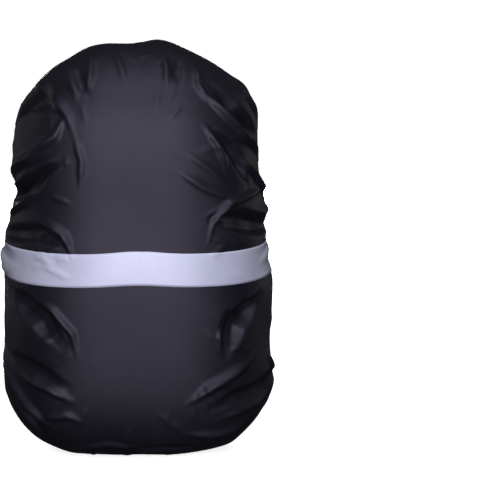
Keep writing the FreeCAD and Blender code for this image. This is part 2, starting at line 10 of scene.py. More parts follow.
import bmesh
import bpy
import numpy as np
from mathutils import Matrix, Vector


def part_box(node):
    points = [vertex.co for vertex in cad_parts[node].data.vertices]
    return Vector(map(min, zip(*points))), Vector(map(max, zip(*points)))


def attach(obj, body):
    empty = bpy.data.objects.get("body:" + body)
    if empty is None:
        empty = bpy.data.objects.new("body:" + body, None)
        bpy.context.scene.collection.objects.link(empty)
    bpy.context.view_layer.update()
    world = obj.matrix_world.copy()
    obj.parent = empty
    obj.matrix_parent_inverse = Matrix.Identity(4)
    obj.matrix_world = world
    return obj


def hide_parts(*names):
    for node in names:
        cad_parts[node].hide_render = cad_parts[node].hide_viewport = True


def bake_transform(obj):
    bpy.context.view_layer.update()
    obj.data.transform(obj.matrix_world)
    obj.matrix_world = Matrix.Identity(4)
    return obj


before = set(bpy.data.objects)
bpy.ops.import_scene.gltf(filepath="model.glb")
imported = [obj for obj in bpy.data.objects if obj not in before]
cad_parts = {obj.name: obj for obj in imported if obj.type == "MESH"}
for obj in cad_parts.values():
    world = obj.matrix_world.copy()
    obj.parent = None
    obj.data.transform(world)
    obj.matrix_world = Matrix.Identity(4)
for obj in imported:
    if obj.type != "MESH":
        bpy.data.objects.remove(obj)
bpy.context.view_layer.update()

MM = 0.001

# ---- Where things are, from the frame, in mm --------------------------------------------------------------------


def node_box(node):
    """A node's lowest and highest corners in mm."""
    low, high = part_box(node)
    return np.array(low) / MM, np.array(high) / MM


HEM_LOW, HEM_HIGH = node_box("hem_binding")
FOOT_LOW, FOOT_HIGH = node_box("lower_shell")
HEM_WIDTH = 11.0
HEM_MID = (HEM_LOW + HEM_HIGH) / 2
OPEN_A = (HEM_HIGH[0] - HEM_LOW[0]) / 2 - HEM_WIDTH
OPEN_B = (HEM_HIGH[2] - HEM_LOW[2]) / 2 - HEM_WIDTH
BACK_Y = FOOT_HIGH[1]
TOP_Z = node_box("upper_shell")[1][2]
WIDE_Y = BACK_Y - 96.0  # where the filled cover is widest
HALF_WIDTH = (FOOT_HIGH[0] - FOOT_LOW[0]) / 2
FRONT_Y = FOOT_LOW[1]
CENTRE = np.array([HEM_MID[0], WIDE_Y - 30.0, HEM_MID[2]])  # the point that the cloth's columns fan out from

CROWN_HEIGHT = 172.0  # of the rounding at the top
FOOT_HEIGHT = 110.0  # of the rounding at the foot
BACK_FLAT = 0.8  # the back's flat face lies this far inside the box
GROUND = 0.4  # lowest that the cloth's face comes, above the floor

COLUMNS = 448  # the cloth grid, round the cover
RINGS = 212  # and from the hem to the front's middle
LAST_GAP = 4.0  # left open round the front's middle, closed by a fan
CLOTH_THICK = 0.5
WEB_WIDTH = 25.0
BAND_WIDTH = 50.0
BAND_RISE = 5.0  # how much higher than its node the reflective band is laid


# ---- Colours, nodes and meshes ----------------------------------------------------------------------------------


def srgb(code):
    """An sRGB hex colour as linear RGBA."""
    parts = [int(code[i : i + 2], 16) / 255 for i in (1, 3, 5)]
    return (*[c / 12.92 if c <= 0.04045 else ((c + 0.055) / 1.055) ** 2.4 for c in parts], 1.0)


def add(tree, kind, settings=None, **links):
    """Adds a node, sets its settings, and links or fills its inputs by name (spaces as underscores) or by index."""
    node = tree.nodes.new(kind)
    for name, value in (settings or {}).items():
        setattr(node, name, value)
    for name, value in links.items():
        key = int(name[1:]) if name[0] == "i" and name[1:].isdigit() else name.replace("_", " ")
        socket = node.inputs[key]
        if isinstance(value, bpy.types.NodeSocket):
            tree.links.new(value, socket)
        else:
            socket.default_value = value
    return node


def blank(name):
    """A material with an empty tree, its Principled shader already joined to the output."""
    material = bpy.data.materials.new(name)
    material.use_nodes = True
    tree = material.node_tree
    tree.nodes.clear()
    shader = add(tree, "ShaderNodeBsdfPrincipled")
    add(tree, "ShaderNodeOutputMaterial", Surface=shader.outputs[0])
    return material, tree, shader


def ramp(tree, factor, stops):
    """A colour ramp through (place, hex colour) stops."""
    node = add(tree, "ShaderNodeValToRGB", Fac=factor)
    elements = node.color_ramp.elements
    while len(elements) < len(stops):
        elements.new(0.5)
    for element, (place, code) in zip(elements, stops):
        element.position = place
        element.color = srgb(code)
    return node.outputs[0]


def object_place(tree):
    """Object coordinates."""
    return add(tree, "ShaderNodeTexCoord").outputs["Object"]


def noise(tree, where, scale, detail, **more):
    """Smooth noise from 0 to 1, with so many grains to the metre."""
    return add(tree, "ShaderNodeTexNoise", Vector=where, Scale=scale, Detail=detail, **more).outputs["Fac"]


def span(tree, value, low, high, new_low, new_high):
    """Maps a value from one range to another."""
    node = add(tree, "ShaderNodeMapRange", Value=value, From_Min=low, From_Max=high, To_Min=new_low, To_Max=new_high)
    return node.outputs[0]


def make_mesh(name, points, faces, materials, face_material=None, uv=None, smooth=True):
    """A mesh object from arrays: points in mm, quads, one UV pair a point."""
    mesh = bpy.data.meshes.new(name)
    points = np.asarray(points, dtype=np.float64).reshape(-1, 3) * MM
    faces = np.asarray(faces, dtype=np.int32)
    mesh.vertices.add(len(points))
    mesh.vertices.foreach_set("co", points.ravel())
    mesh.loops.add(faces.size)
    mesh.loops.foreach_set("vertex_index", faces.ravel())
    mesh.polygons.add(len(faces))
    mesh.polygons.foreach_set("loop_start", np.arange(len(faces), dtype=np.int32) * faces.shape[1])
    mesh.polygons.foreach_set("use_smooth", np.full(len(faces), smooth))
    if face_material is not None:
        mesh.polygons.foreach_set("material_index", np.asarray(face_material, dtype=np.int32))
    mesh.update(calc_edges=True)
    if uv is not None:
        layer = mesh.uv_layers.new(name="cloth")
        layer.data.foreach_set("uv", np.asarray(uv, dtype=np.float64).reshape(-1, 2)[faces.ravel()].ravel())
    mesh.validate()
    for material in materials:
        mesh.materials.append(material)
    obj = bpy.data.objects.new(name, mesh)
    bpy.context.collection.objects.link(obj)
    return obj


def grid_faces(rows, columns, wrap_columns=False, wrap_rows=False, flip=False):
    """Quads of a grid of rows by columns, each numbered row by row."""
    r = np.arange(rows if wrap_rows else rows - 1)[:, None]
    c = np.arange(columns if wrap_columns else columns - 1)[None, :]
    r1, c1 = (r + 1) % rows, (c + 1) % columns
    quads = np.stack([r * columns + c, r * columns + c1, r1 * columns + c1, r1 * columns + c], axis=-1)
    quads = quads.reshape(-1, 4)
    return quads[:, ::-1] if flip else quads


# ---- The filled shape -------------------------------------------------------------------------------------------


def smooth_step(t):
    """t clipped to 0 to 1, then 3t^2 - 2t^3."""
    t = np.clip(t, 0.0, 1.0)
    return t * t * (3 - 2 * t)


def fullness(z):
    """How full the cover is at a height: a quarter ellipse up from the foot, 1, and a rounded crown."""
    foot = np.clip(1 - z / FOOT_HEIGHT, 0, 1)
    crown = np.clip((z - (TOP_Z - CROWN_HEIGHT)) / CROWN_HEIGHT, 0, 1) * 0.998
    low = 0.52 + 0.48 * np.sqrt(1 - foot**2)
    high = (1 - crown**2.3) ** (1 / 2.3)
    return np.where(z < FOOT_HEIGHT, low, high)


def inside(p):
    """The shape's own measure at points: under 1 inside it, 1 on it. Each level is a boxy oval, flatter in front."""
    x, y, z = p[..., 0], p[..., 1], np.clip(p[..., 2], 0.5, TOP_Z - 0.05)
    full = fullness(z)
    rise = smooth_step((z - TOP_Z / 3) / (TOP_Z - CROWN_HEIGHT - TOP_Z / 3))
    half = HALF_WIDTH * (1 - 0.09 * rise) * full
    front = (WIDE_Y - FRONT_Y) * (1 - 0.085 * rise) * full
    back = 112.0 * full
    ahead = (np.abs(x) / half) ** 4.0 + (np.clip(WIDE_Y - y, 0, None) / front) ** 1.55
    behind = (np.abs(x) / half) ** 3.5 + (np.clip(y - WIDE_Y, 0, None) / back) ** 2.5
    level = np.where(y < WIDE_Y, ahead, behind)
    over = np.where((p[..., 2] > TOP_Z) | (p[..., 2] < 0), 9.0, 0.0)
    flat = np.where(y > BACK_Y - BACK_FLAT, 9.0, 0.0)
    return level + over + flat


def hem_outline(turn):
    """The opening's edge as a rounded diamond: x and z from the oval |x/a|^1.78 + |z/b|^1.78 = 1, by its angle."""
    c, s = np.cos(turn), np.sin(turn)
    r = (np.abs(c / OPEN_A) ** 1.78 + np.abs(s / OPEN_B) ** 1.78) ** (-1 / 1.78)
    return r * c, r * s


def base_cover(columns, rings):
    """The smooth cloth surface: each column lies in a half plane through the opening's middle, from the hem round
    the side to the front's middle, and its rings are evenly spaced, closer together near the hem."""
    turn = 2 * np.pi * np.arange(columns) / columns
    hx, hz = hem_outline(turn)
    reach = np.hypot(hx, hz)
    start = np.arctan2(reach, BACK_Y - BACK_FLAT - CENTRE[1])
    fine = 500
    t = np.linspace(0, 1, fine)[:, None]
    polar = start[None, :] * (1 - t) + np.pi * t
    out = np.stack(
        [np.sin(polar) * np.cos(turn)[None, :], np.cos(polar), np.sin(polar) * np.sin(turn)[None, :]], axis=-1
    )
    low, high = np.full(polar.shape, 10.0), np.full(polar.shape, 480.0)
    for _ in range(34):
        mid = (low + high) / 2
        within = inside(CENTRE + out * mid[..., None]) < 1
        low, high = np.where(within, mid, low), np.where(within, high, mid)
    points = CENTRE + out * low[..., None]
    step = np.linalg.norm(np.diff(points, axis=0), axis=-1)
    along = np.concatenate([np.zeros((1, columns)), np.cumsum(step, axis=0)])
    total = along[-1]
    q = np.linspace(0, 1, rings)
    q = (0.66 * q + 0.34 * q**1.9)[:, None] * np.ones((1, columns))
    q = q * (1 - LAST_GAP / total)
    shift = 2.0 * np.arange(columns)[None, :]
    known = (along / total + shift).T.ravel()
    asked = (q + shift).T.ravel()
    made = [np.interp(asked, known, points[..., k].T.ravel()).reshape(columns, rings).T for k in range(3)]
    return np.stack(made, axis=-1), (q * total), turn


def normals_of(p):
    """Outward unit normals of a grid that wraps round its columns, from the cross of its two directions."""
    around = np.roll(p, -1, axis=1) - np.roll(p, 1, axis=1)
    along = np.gradient(p, axis=0)
    n = np.cross(along, around)
    n /= np.linalg.norm(n, axis=-1, keepdims=True) + 1e-9
    middle = np.array([HEM_MID[0], WIDE_Y, HEM_MID[2]])
    away = np.sum(n * (p - middle), axis=-1, keepdims=True)
    return n * np.sign(np.median(away))


def flat_map(along, turn):
    """Each point's place on the cloth's flat cut: its distance from the front's middle, in its column's direction."""
    rest = along[-1][None, :] + LAST_GAP - along
    return rest * np.cos(turn)[None, :], rest * np.sin(turn)[None, :]


def stroke(fx, fz, path, width, height, sharp=1.0):
    """A ridge, or for a negative height a hollow, along a path on the flat cut. A ridge's section is a tent and a
    hollow's a trough with a flat floor; both have even flanks between rounded creases. One flank has the given width
    and the other sharp times it. The stroke runs out towards its ends."""
    path = np.asarray(path, float)
    a, b = path[:-1], path[1:]
    run = b - a
    length = np.hypot(run[:, 0], run[:, 1])
    walked = np.concatenate([[0], np.cumsum(length)])
    best = np.full(fx.shape, 1e9)
    place = np.zeros(fx.shape)
    side = np.ones(fx.shape)
    for k in range(len(a)):
        dx, dz = fx - a[k, 0], fz - a[k, 1]
        t = np.clip((dx * run[k, 0] + dz * run[k, 1]) / length[k] ** 2, 0, 1)
        ox, oz = dx - t * run[k, 0], dz - t * run[k, 1]
        d = np.hypot(ox, oz)
        near = d < best
        best = np.where(near, d, best)
        place = np.where(near, (walked[k] + t * length[k]) / walked[-1], place)
        side = np.where(near, np.sign(run[k, 0] * oz - run[k, 1] * ox), side)
    flank = width * np.where(side > 0, 1.0, sharp)
    fade = smooth_step(place / 0.35) * smooth_step((1 - place) / 0.35)
    flank = flank * (0.45 + 0.55 * fade)
    if height < 0:
        best = np.sqrt(np.clip(best - 0.4 * flank, 0, None) ** 2 + 0.01)
        flank = 0.6 * flank
    level = 1 - (np.sqrt(best**2 + 1.3) - 1.14) / flank
    section = (level + np.sqrt(level**2 + 0.006)) / 2
    return height * np.where(section > 0.02, section, section**2 * 50) * (0.1 + 0.9 * fade)


# ---- Camera, light and stage ------------------------------------------------------------------------------------


def make_camera():
    """A long lens straight in front, a little above, turned so that the cover stands left of the frame's middle."""
    data = bpy.data.cameras.new("camera")
    data.sensor_width = 36.0
    camera = bpy.data.objects.new("camera", data)
    bpy.context.collection.objects.link(camera)
    rise = math.radians(9.0)
    aim = Vector((0.158, 0.0, 0.301))
    away = 4.2
    camera.location = Vector((0.0, -away * math.cos(rise), 0.301 + away * math.sin(rise)))
    camera.rotation_euler = (aim - camera.location).to_track_quat("-Z", "Y").to_euler()
    data.lens = 18.0 / math.tan(math.atan(0.3765 / away))
    data.clip_end = 60.0
    bpy.context.scene.camera = camera


def area_light(name, place, aim, size, power, colour="#ffffff"):
    """A rectangular softbox at a place in metres, turned to its aim. The camera doesn't see it."""
    data = bpy.data.lights.new(name, "AREA")
    data.shape = "RECTANGLE"
    data.size, data.size_y = size
    data.energy = power
    data.color = srgb(colour)[:3]
    light = bpy.data.objects.new(name, data)
    light.location = place
    light.rotation_euler = (Vector(aim) - Vector(place)).to_track_quat("-Z", "Y").to_euler()
    light.visible_camera = False
    bpy.context.collection.objects.link(light)


def make_stage():
    """A pale floor that runs into a pale surround, tall soft lights in front and behind, and weak fills."""
    world = bpy.data.worlds.new("surround")
    bpy.context.scene.world = world
    world.use_nodes = True
    tree = world.node_tree
    tree.nodes.clear()
    seen = add(tree, "ShaderNodeBackground", Color=srgb("#ffffff"), Strength=1.0)
    lit = add(tree, "ShaderNodeBackground", Color=srgb("#dfe3ee"), Strength=0.03)
    path = add(tree, "ShaderNodeLightPath")
    mix = add(tree, "ShaderNodeMixShader", i0=path.outputs["Is Camera Ray"], i1=lit.outputs[0], i2=seen.outputs[0])
    add(tree, "ShaderNodeOutputWorld", Surface=mix.outputs[0])

    area_light("front_softbox", (-0.05, -3.3, 1.35), (0, 0, 0.33), (1.25, 2.4), 92.0, "#f8f6ff")
    area_light("top_softbox", (0.1, -0.9, 2.6), (0, 0, 0.4), (1.2, 1.0), 20.0, "#f4f5ff")
    area_light("back_softbox", (-0.15, 3.0, 0.36), (0, 0, 0.32), (1.0, 0.7), 88.0)
    area_light("low_front_fill", (0.0, -3.1, 0.2), (0, 0, 0.2), (1.5, 0.3), 14.0, "#f8f6ff")
    area_light("left_strip", (-2.1, 1.7, 0.5), (0, 0, 0.3), (0.35, 1.0), 2.5)
    area_light("right_strip", (2.1, 1.7, 0.5), (0, 0, 0.3), (0.35, 1.0), 2.5)

    side = 40.0
    floor = make_mesh("floor", np.array([[-1, -1, 0], [1, -1, 0], [1, 1, 0], [-1, 1, 0]]) * side / 2 / MM,
                      [[0, 1, 2, 3]], [pale_floor()], smooth=False)
    floor.visible_diffuse = False
    floor.visible_glossy = False
    view = bpy.context.scene.view_settings
    view.view_transform = "Standard"
    view.look = "None"


def pale_floor():
    """Matt white studio floor. It glows a little at its own colour, fully at a distance, so that it meets the surround
    without a line, and less near the object, where the object's shadow falls."""
    material, tree, shader = blank("matt_white_floor")
    where = object_place(tree)
    away = add(tree, "ShaderNodeVectorMath", {"operation": "LENGTH"}, i0=where).outputs["Value"]
    shader.inputs["Base Color"].default_value = srgb("#f2f2f2")
    shader.inputs["Roughness"].default_value = 0.9
    shader.inputs["Specular IOR Level"].default_value = 0.1
    shader.inputs["Emission Color"].default_value = srgb("#ffffff")
    tree.links.new(span(tree, away, 0.35, 1.1, 0.80, 1.05), shader.inputs["Emission Strength"])
    return material


# ---- Materials --------------------------------------------------------------------------------------------------


def coated_polyester():
    """Black coated polyester taffeta: near black dyed thread under a thin film, so nearly all that shows of it is the
    film's broad satin shine, bright where it faces the light and black where it turns away. The real thread pitch,
    0.1 mm, is drawn at 1.1 mm so that it shows at all."""
    material, tree, shader = blank("black_coated_taffeta")
    where = object_place(tree)
    cloud = noise(tree, where, 9.0, 3.0)
    colour = ramp(tree, cloud, [(0.3, "#0d0c12"), (0.7, "#121118")])
    tree.links.new(colour, shader.inputs["Base Color"])
    crush = noise(tree, where, 55.0, 1.5, Roughness=0.5)
    rough = span(tree, cloud, 0.3, 0.7, 0.56, 0.61)
    tree.links.new(rough, shader.inputs["Roughness"])
    weave = add(tree, "ShaderNodeTexChecker", Vector=where, Scale=900.0).outputs["Fac"]
    fine = add(tree, "ShaderNodeBump", Strength=0.06, Distance=0.0002, Height=weave)
    coarse = add(tree, "ShaderNodeBump", Strength=0.18, Distance=0.0012, Height=crush, Normal=fine.outputs[0])
    tree.links.new(coarse.outputs[0], shader.inputs["Normal"])
    shader.inputs["Specular IOR Level"].default_value = 0.52
    shader.inputs["Specular Tint"].default_value = srgb("#ece6ff")
    return material


def silver_coating():
    """Aluminium-pigmented polyurethane on the cloth's inner face: pale, half metallic, crinkled with the cloth."""
    material, tree, shader = blank("silver_polyurethane_coating")
    where = object_place(tree)
    cloud = noise(tree, where, 14.0, 4.0)
    tree.links.new(ramp(tree, cloud, [(0.25, "#dcdee0"), (0.75, "#eff0f2")]), shader.inputs["Base Color"])
    crush = noise(tree, where, 70.0, 5.0)
    bump = add(tree, "ShaderNodeBump", Strength=0.4, Distance=0.0015, Height=crush)
    tree.links.new(bump.outputs[0], shader.inputs["Normal"])
    shader.inputs["Metallic"].default_value = 0.12
    shader.inputs["Roughness"].default_value = 0.55
    return material


# ---- Cover cloth ------------------------------------------------------------------------------------------------


def relax(start, rest_along, rest_around, rest_cross, weight, stiff, rounds):
    """Moves the cloth's points until its threads have their cut lengths again. Each round meets the lengths along
    the columns, round the rings and across both diagonals, and straightens a little of each bend."""
    p = start.copy()
    rows, columns = p.shape[:2]
    w = weight[..., None]
    rings = [np.arange(first, rows - 1, 2) for first in (0, 1)]
    halves = [np.arange(0, columns, 2), np.arange(1, columns, 2)]

    def meet(a, b, rest, share):
        """Moves both ends of the threads from a to b along them, by a share of what they are too long or short."""
        d = p[b] - p[a]
        length = np.linalg.norm(d, axis=-1, keepdims=True) + 1e-9
        give = share * (length - rest[..., None]) / length * d / (w[a] + w[b] + 1e-9)
        p[a] += w[a] * give
        p[b] -= w[b] * give

    everyone = np.arange(columns)
    all_rows = np.arange(rows)
    for _ in range(rounds):
        for i in rings:
            meet(np.ix_(i, everyone), np.ix_(i + 1, everyone), rest_along[i], 0.9)
        for j in halves:
            meet(np.ix_(all_rows, j), np.ix_(all_rows, (j + 1) % columns), rest_around[:, j], 0.9)
        for i in rings:
            for j in halves:
                k = (j + 1) % columns
                meet(np.ix_(i, j), np.ix_(i + 1, k), rest_cross[0][np.ix_(i, j)], 0.35)
                meet(np.ix_(i + 1, j), np.ix_(i, k), rest_cross[1][np.ix_(i, j)], 0.35)
        p += stiff * w * ((np.roll(p, 1, axis=1) + np.roll(p, -1, axis=1)) / 2 - p)
        p[1:-1] += stiff * w[1:-1] * ((p[:-2] + p[2:]) / 2 - p[1:-1])
        p[..., 2] = np.maximum(p[..., 2] - 0.02 * weight, GROUND)
    return p


def spread_out(grid, rings, columns):
    """A coarse grid's values on a finer grid, by a smooth cubic through the four nearest rings and columns."""

    def cubic(values, place, wrap):
        """Catmull-Rom values between the rows of a grid, at fractional row numbers."""
        n = values.shape[0]
        i = np.clip(np.floor(place).astype(int), 0, n - 1)
        t = place - i
        weights = [
            (-t + 2 * t**2 - t**3) / 2, (2 - 5 * t**2 + 3 * t**3) / 2, (t + 4 * t**2 - 3 * t**3) / 2, (t**3 - t**2) / 2
        ]
        total = 0
        for k, weight in enumerate(weights):
            at = (i + k - 1) % n if wrap else np.clip(i + k - 1, 0, n - 1)
            total = total + values[at] * weight[:, None, None]
        return total

    along = cubic(grid, np.linspace(0, grid.shape[0] - 1, rings), False)
    around = cubic(along.transpose(1, 0, 2), np.arange(columns) * grid.shape[1] / columns, True)
    return around.transpose(1, 0, 2)


def crumple(fx, fz, seed=21):
    """Faint unevenness that the slack cloth buckles along: waves of 45 to 120 mm in all directions."""
    rng = np.random.default_rng(seed)
    d = np.zeros(fx.shape)
    for _ in range(22):
        pitch, way, phase = rng.uniform(45, 120), rng.uniform(0, np.pi), rng.uniform(0, 2 * np.pi)
        d += np.sin(2 * np.pi * (fx * np.cos(way) + fz * np.sin(way)) / pitch + phase) * pitch / 120
    return d / 2.4


def ripples(arc, total, pitch, seed, count=9):
    """A wavy line round the hem: sines whose whole-number counts lie near the pitch, with random heights."""
    rng = np.random.default_rng(seed)
    turns = np.unique(np.round(total / pitch * rng.uniform(0.7, 1.35, count)).astype(int))
    high = rng.uniform(0.5, 1.0, len(turns))
    phase = rng.uniform(0, 2 * np.pi, len(turns))
    value = sum(h * np.sin(2 * np.pi * k * arc / total + f) for h, k, f in zip(high, turns, phase))
    return value / np.sqrt(np.sum(high**2) / 2)


def sewn_patch(turn):
    """1 where webbing is sewn across the hem, at its four quarter points, and 0 away from there."""
    quarter = np.pi / 2
    off = np.abs((turn + quarter / 2) % quarter - quarter / 2)
    return 1 - smooth_step((off - 0.10) / 0.07)


def bump_between(d, rise, fall):
    """Rises from 0 at the hem to 1 at the first distance, and is gone by the second."""
    return smooth_step(d / rise) * (1 - smooth_step((d - rise) / (fall - rise)))


def gathers(along, turn):
    """Folds that the elastic makes: fine at the hem, and merging into fewer and larger ones further out."""
    hx, hz = hem_outline(turn)
    seg = np.hypot(np.roll(hx, -1) - hx, np.roll(hz, -1) - hz)
    arc = np.concatenate([[0], np.cumsum(seg)[:-1]])
    total = seg.sum()
    sway = 5.0 * np.sin(along / 37.0 + 2.0) + 8.0 * np.sin(along / 90.0)
    place = arc[None, :] + sway
    sharp = lambda n: np.exp(1.35 * np.tanh(n / 1.5)) - 1.2
    fine = sharp(ripples(place, total, 9.5, 3)) * 1.1 * (1 - smooth_step((along - 6) / 26))
    middle = sharp(ripples(place, total, 18.0, 5)) * 2.2 * bump_between(along + 5, 20, 62)
    wide = sharp(ripples(place, total, 36.0, 8)) * 3.4 * bump_between(along, 48, 150)
    broad = sharp(ripples(place, total, 78.0, 11)) * 4.6 * bump_between(along, 120, 330)
    return fine + middle, wide + broad


def on_the_cut(cloth, path):
    """Moves a path drawn in mm as seen from the front, from the front's middle, to the flat cut."""
    ahead = np.where(cloth.rest[..., 1] < WIDE_Y + 8, 0.0, 1e6)
    out = []
    for x, z in path:
        gap = (cloth.rest[..., 0] - HEM_MID[0] - x) ** 2 + (cloth.rest[..., 2] - HEM_MID[2] - z) ** 2 + ahead
        i, j = np.unravel_index(np.argmin(gap), gap.shape)
        out.append((cloth.fx[i, j], cloth.fz[i, j]))
    return out


def front_folds(cloth):
    """The crisp folds and hollows of the slack cloth round the tight front."""
    d = np.zeros(cloth.fx.shape)
    for path, width, height, sharp in FOLDS:
        d += stroke(cloth.fx, cloth.fz, on_the_cut(cloth, path), width, height, sharp)
    rng = np.random.default_rng(5)
    for _ in range(70):
        turn, out, size = rng.uniform(0, 2 * np.pi), rng.uniform(0.86, 1.3), rng.uniform(26, 70)
        x, z = 112 * np.cos(turn), 262 * np.sin(turn)
        start = np.array([x, z]) * out / max(abs(np.cos(turn)), abs(np.sin(turn))) ** 0.6
        way = turn + rng.uniform(-0.7, 0.7)
        path = [start, start + size * np.array([np.cos(way), np.sin(way)])]
        d += stroke(cloth.fx, cloth.fz, path, rng.uniform(4, 8), rng.uniform(0.7, 2.2), rng.uniform(0.4, 1))
    return np.clip(d, -24.0, 12.0)


def hem_pleats(cloth):
    """Long pleats that the gathers run out into: ridges and hollows that start at the hem and drift apart. They lie
    flatter where webbing is sewn on and behind the pouch."""
    rng = np.random.default_rng(9)
    d = np.zeros(cloth.fx.shape)
    count = 62
    for k in range(count):
        turn = 2 * np.pi * (k + rng.uniform(-0.45, 0.45)) / count
        reach = cloth.along[-1, int(turn / (2 * np.pi) * COLUMNS) % COLUMNS] + LAST_GAP
        length, drift = rng.uniform(80, 230), rng.uniform(-0.2, 0.2)
        path = []
        for a in (2.0, 0.3 * length, 0.65 * length, length):
            way = turn + drift * a / 200
            path.append(((reach - a) * np.cos(way), (reach - a) * np.sin(way)))
        height = rng.uniform(2.6, 6.0) if k % 3 else -rng.uniform(3.0, 6.5)
        d += stroke(cloth.fx, cloth.fz, path, rng.uniform(15, 30), height, rng.uniform(0.4, 0.9))
    low, high = node_box("pouch_back_panel")
    x, y, z = cloth.rest[..., 0], cloth.rest[..., 1], cloth.rest[..., 2]
    behind = smooth_step((x - low[0] + 20) / 20) * smooth_step((high[0] + 20 - x) / 20)
    behind = behind * smooth_step((z - low[2] + 20) / 20) * smooth_step((high[2] + 20 - z) / 20) * (y > WIDE_Y)
    d -= behind * np.maximum(d - 0.8, 0.0)
    calm = sewn_patch(cloth.turn)[None, :] * (1 - smooth_step(cloth.along / 50.0))
    return np.clip(d, -9.0, 7.0) * (1 - calm)


# Path as seen from the front, width of a flank, height, and the other flank's share of the width.
FOLDS = [
    # upper left: two hollows between long ridges that run up to the front
    ([(-200, 150), (-180, 205), (-150, 240), (-112, 222)], 25, -18.0, 0.9),
    ([(-204, 112), (-158, 148), (-122, 186), (-106, 222)], 13, 13.0, 0.5),
    ([(-166, 268), (-140, 248), (-106, 220), (-96, 190)], 11, 9.1, 0.5),
    ([(-196, 74), (-150, 116), (-114, 146)], 19, -18.0, 0.8),
    ([(-203, 48), (-164, 84), (-120, 136), (-104, 152)], 11, 10.4, 0.45),
    ([(-200, 92), (-160, 122), (-116, 160)], 8, 6.5, 0.6),
    ([(-196, 26), (-150, 38), (-108, 24)], 18, -14.4, 0.8),
    ([(-140, 60), (-112, 40), (-98, 10)], 10, 6.5, 0.5),
    ([(-96, 190), (-84, 150), (-86, 110)], 8, 3.4, 0.6),
    # top
    ([(-64, 306), (-70, 275), (-78, 246)], 8, 6.5, 0.5),
    ([(-92, 288), (-84, 262), (-70, 244)], 9, -4.8, 0.7),
    ([(-110, 285), (-96, 262), (-88, 232)], 7, 3.9, 0.6),
    ([(-36, 304), (-24, 284), (-20, 262)], 8, 3.9, 0.5),
    ([(40, 304), (44, 282), (44, 256)], 8, 5.9, 0.45),
    ([(64, 300), (60, 280), (62, 262)], 8, -3.6, 0.7),
    ([(86, 290), (92, 262), (104, 236)], 8, 6.5, 0.5),
    # upper right: folds run down and out from the top corner
    ([(88, 262), (128, 220), (160, 178), (186, 136)], 10, 11.7, 0.5),
    ([(112, 258), (150, 216), (184, 168)], 18, -15.6, 0.8),
    ([(126, 262), (164, 232), (192, 186)], 8, 7.8, 0.5),
    ([(112, 196), (140, 164), (166, 106)], 14, -13.2, 0.7),
    ([(98, 206), (120, 172), (136, 128)], 8, 6.5, 0.5),
    ([(54, 138), (100, 108), (152, 80)], 10, 4.4, 0.6),
    ([(66, 166), (106, 140), (140, 104)], 8, 3.1, 0.6),
    ([(150, 150), (176, 120), (200, 78)], 9, 9.1, 0.5),
    ([(112, 62), (150, 56), (206, 34)], 22, -18.0, 0.9),
    ([(106, 30), (112, 56), (136, 82), (186, 92)], 9, 7.8, 0.5),
    # lower left
    ([(-190, -56), (-150, -84), (-116, -124)], 25, -14.4, 0.8),
    ([(-170, -52), (-128, -74), (-100, -108), (-92, -142)], 8, 6.5, 0.4),
    ([(-196, -150), (-160, -166), (-110, -190)], 16, -9.6, 0.8),
    ([(-180, -174), (-138, -194), (-98, -214)], 10, 9.1, 0.5),
    ([(-205, -136), (-190, -190), (-160, -232), (-128, -262)], 11, 10.4, 0.45),
    ([(-200, -196), (-176, -240), (-140, -276)], 14, -10.8, 0.8),
    ([(-150, -240), (-110, -236), (-84, -248)], 8, 5.2, 0.6),
    # lower right
    ([(182, -62), (146, -92), (132, -140)], 24, -16.8, 0.9),
    ([(184, -44), (142, -74), (122, -112), (128, -146)], 8, 5.5, 0.5),
    ([(72, -218), (116, -192), (176, -146)], 11, 9.1, 0.5),
    ([(112, -226), (150, -210), (206, -184)], 15, -14.4, 0.8),
    ([(116, -244), (156, -234), (196, -222)], 8, 6.5, 0.5),
    ([(196, -150), (203, -182), (192, -226)], 9, 6.0, 0.6),
    ([(66, -266), (116, -270), (176, -246)], 10, 6.5, 0.6),
    # foot
    ([(-100, -292), (-50, -282), (10, -290)], 8, 4.5, 0.6),
    ([(-20, -294), (40, -290), (100, -292)], 9, -3.6, 0.7),
]


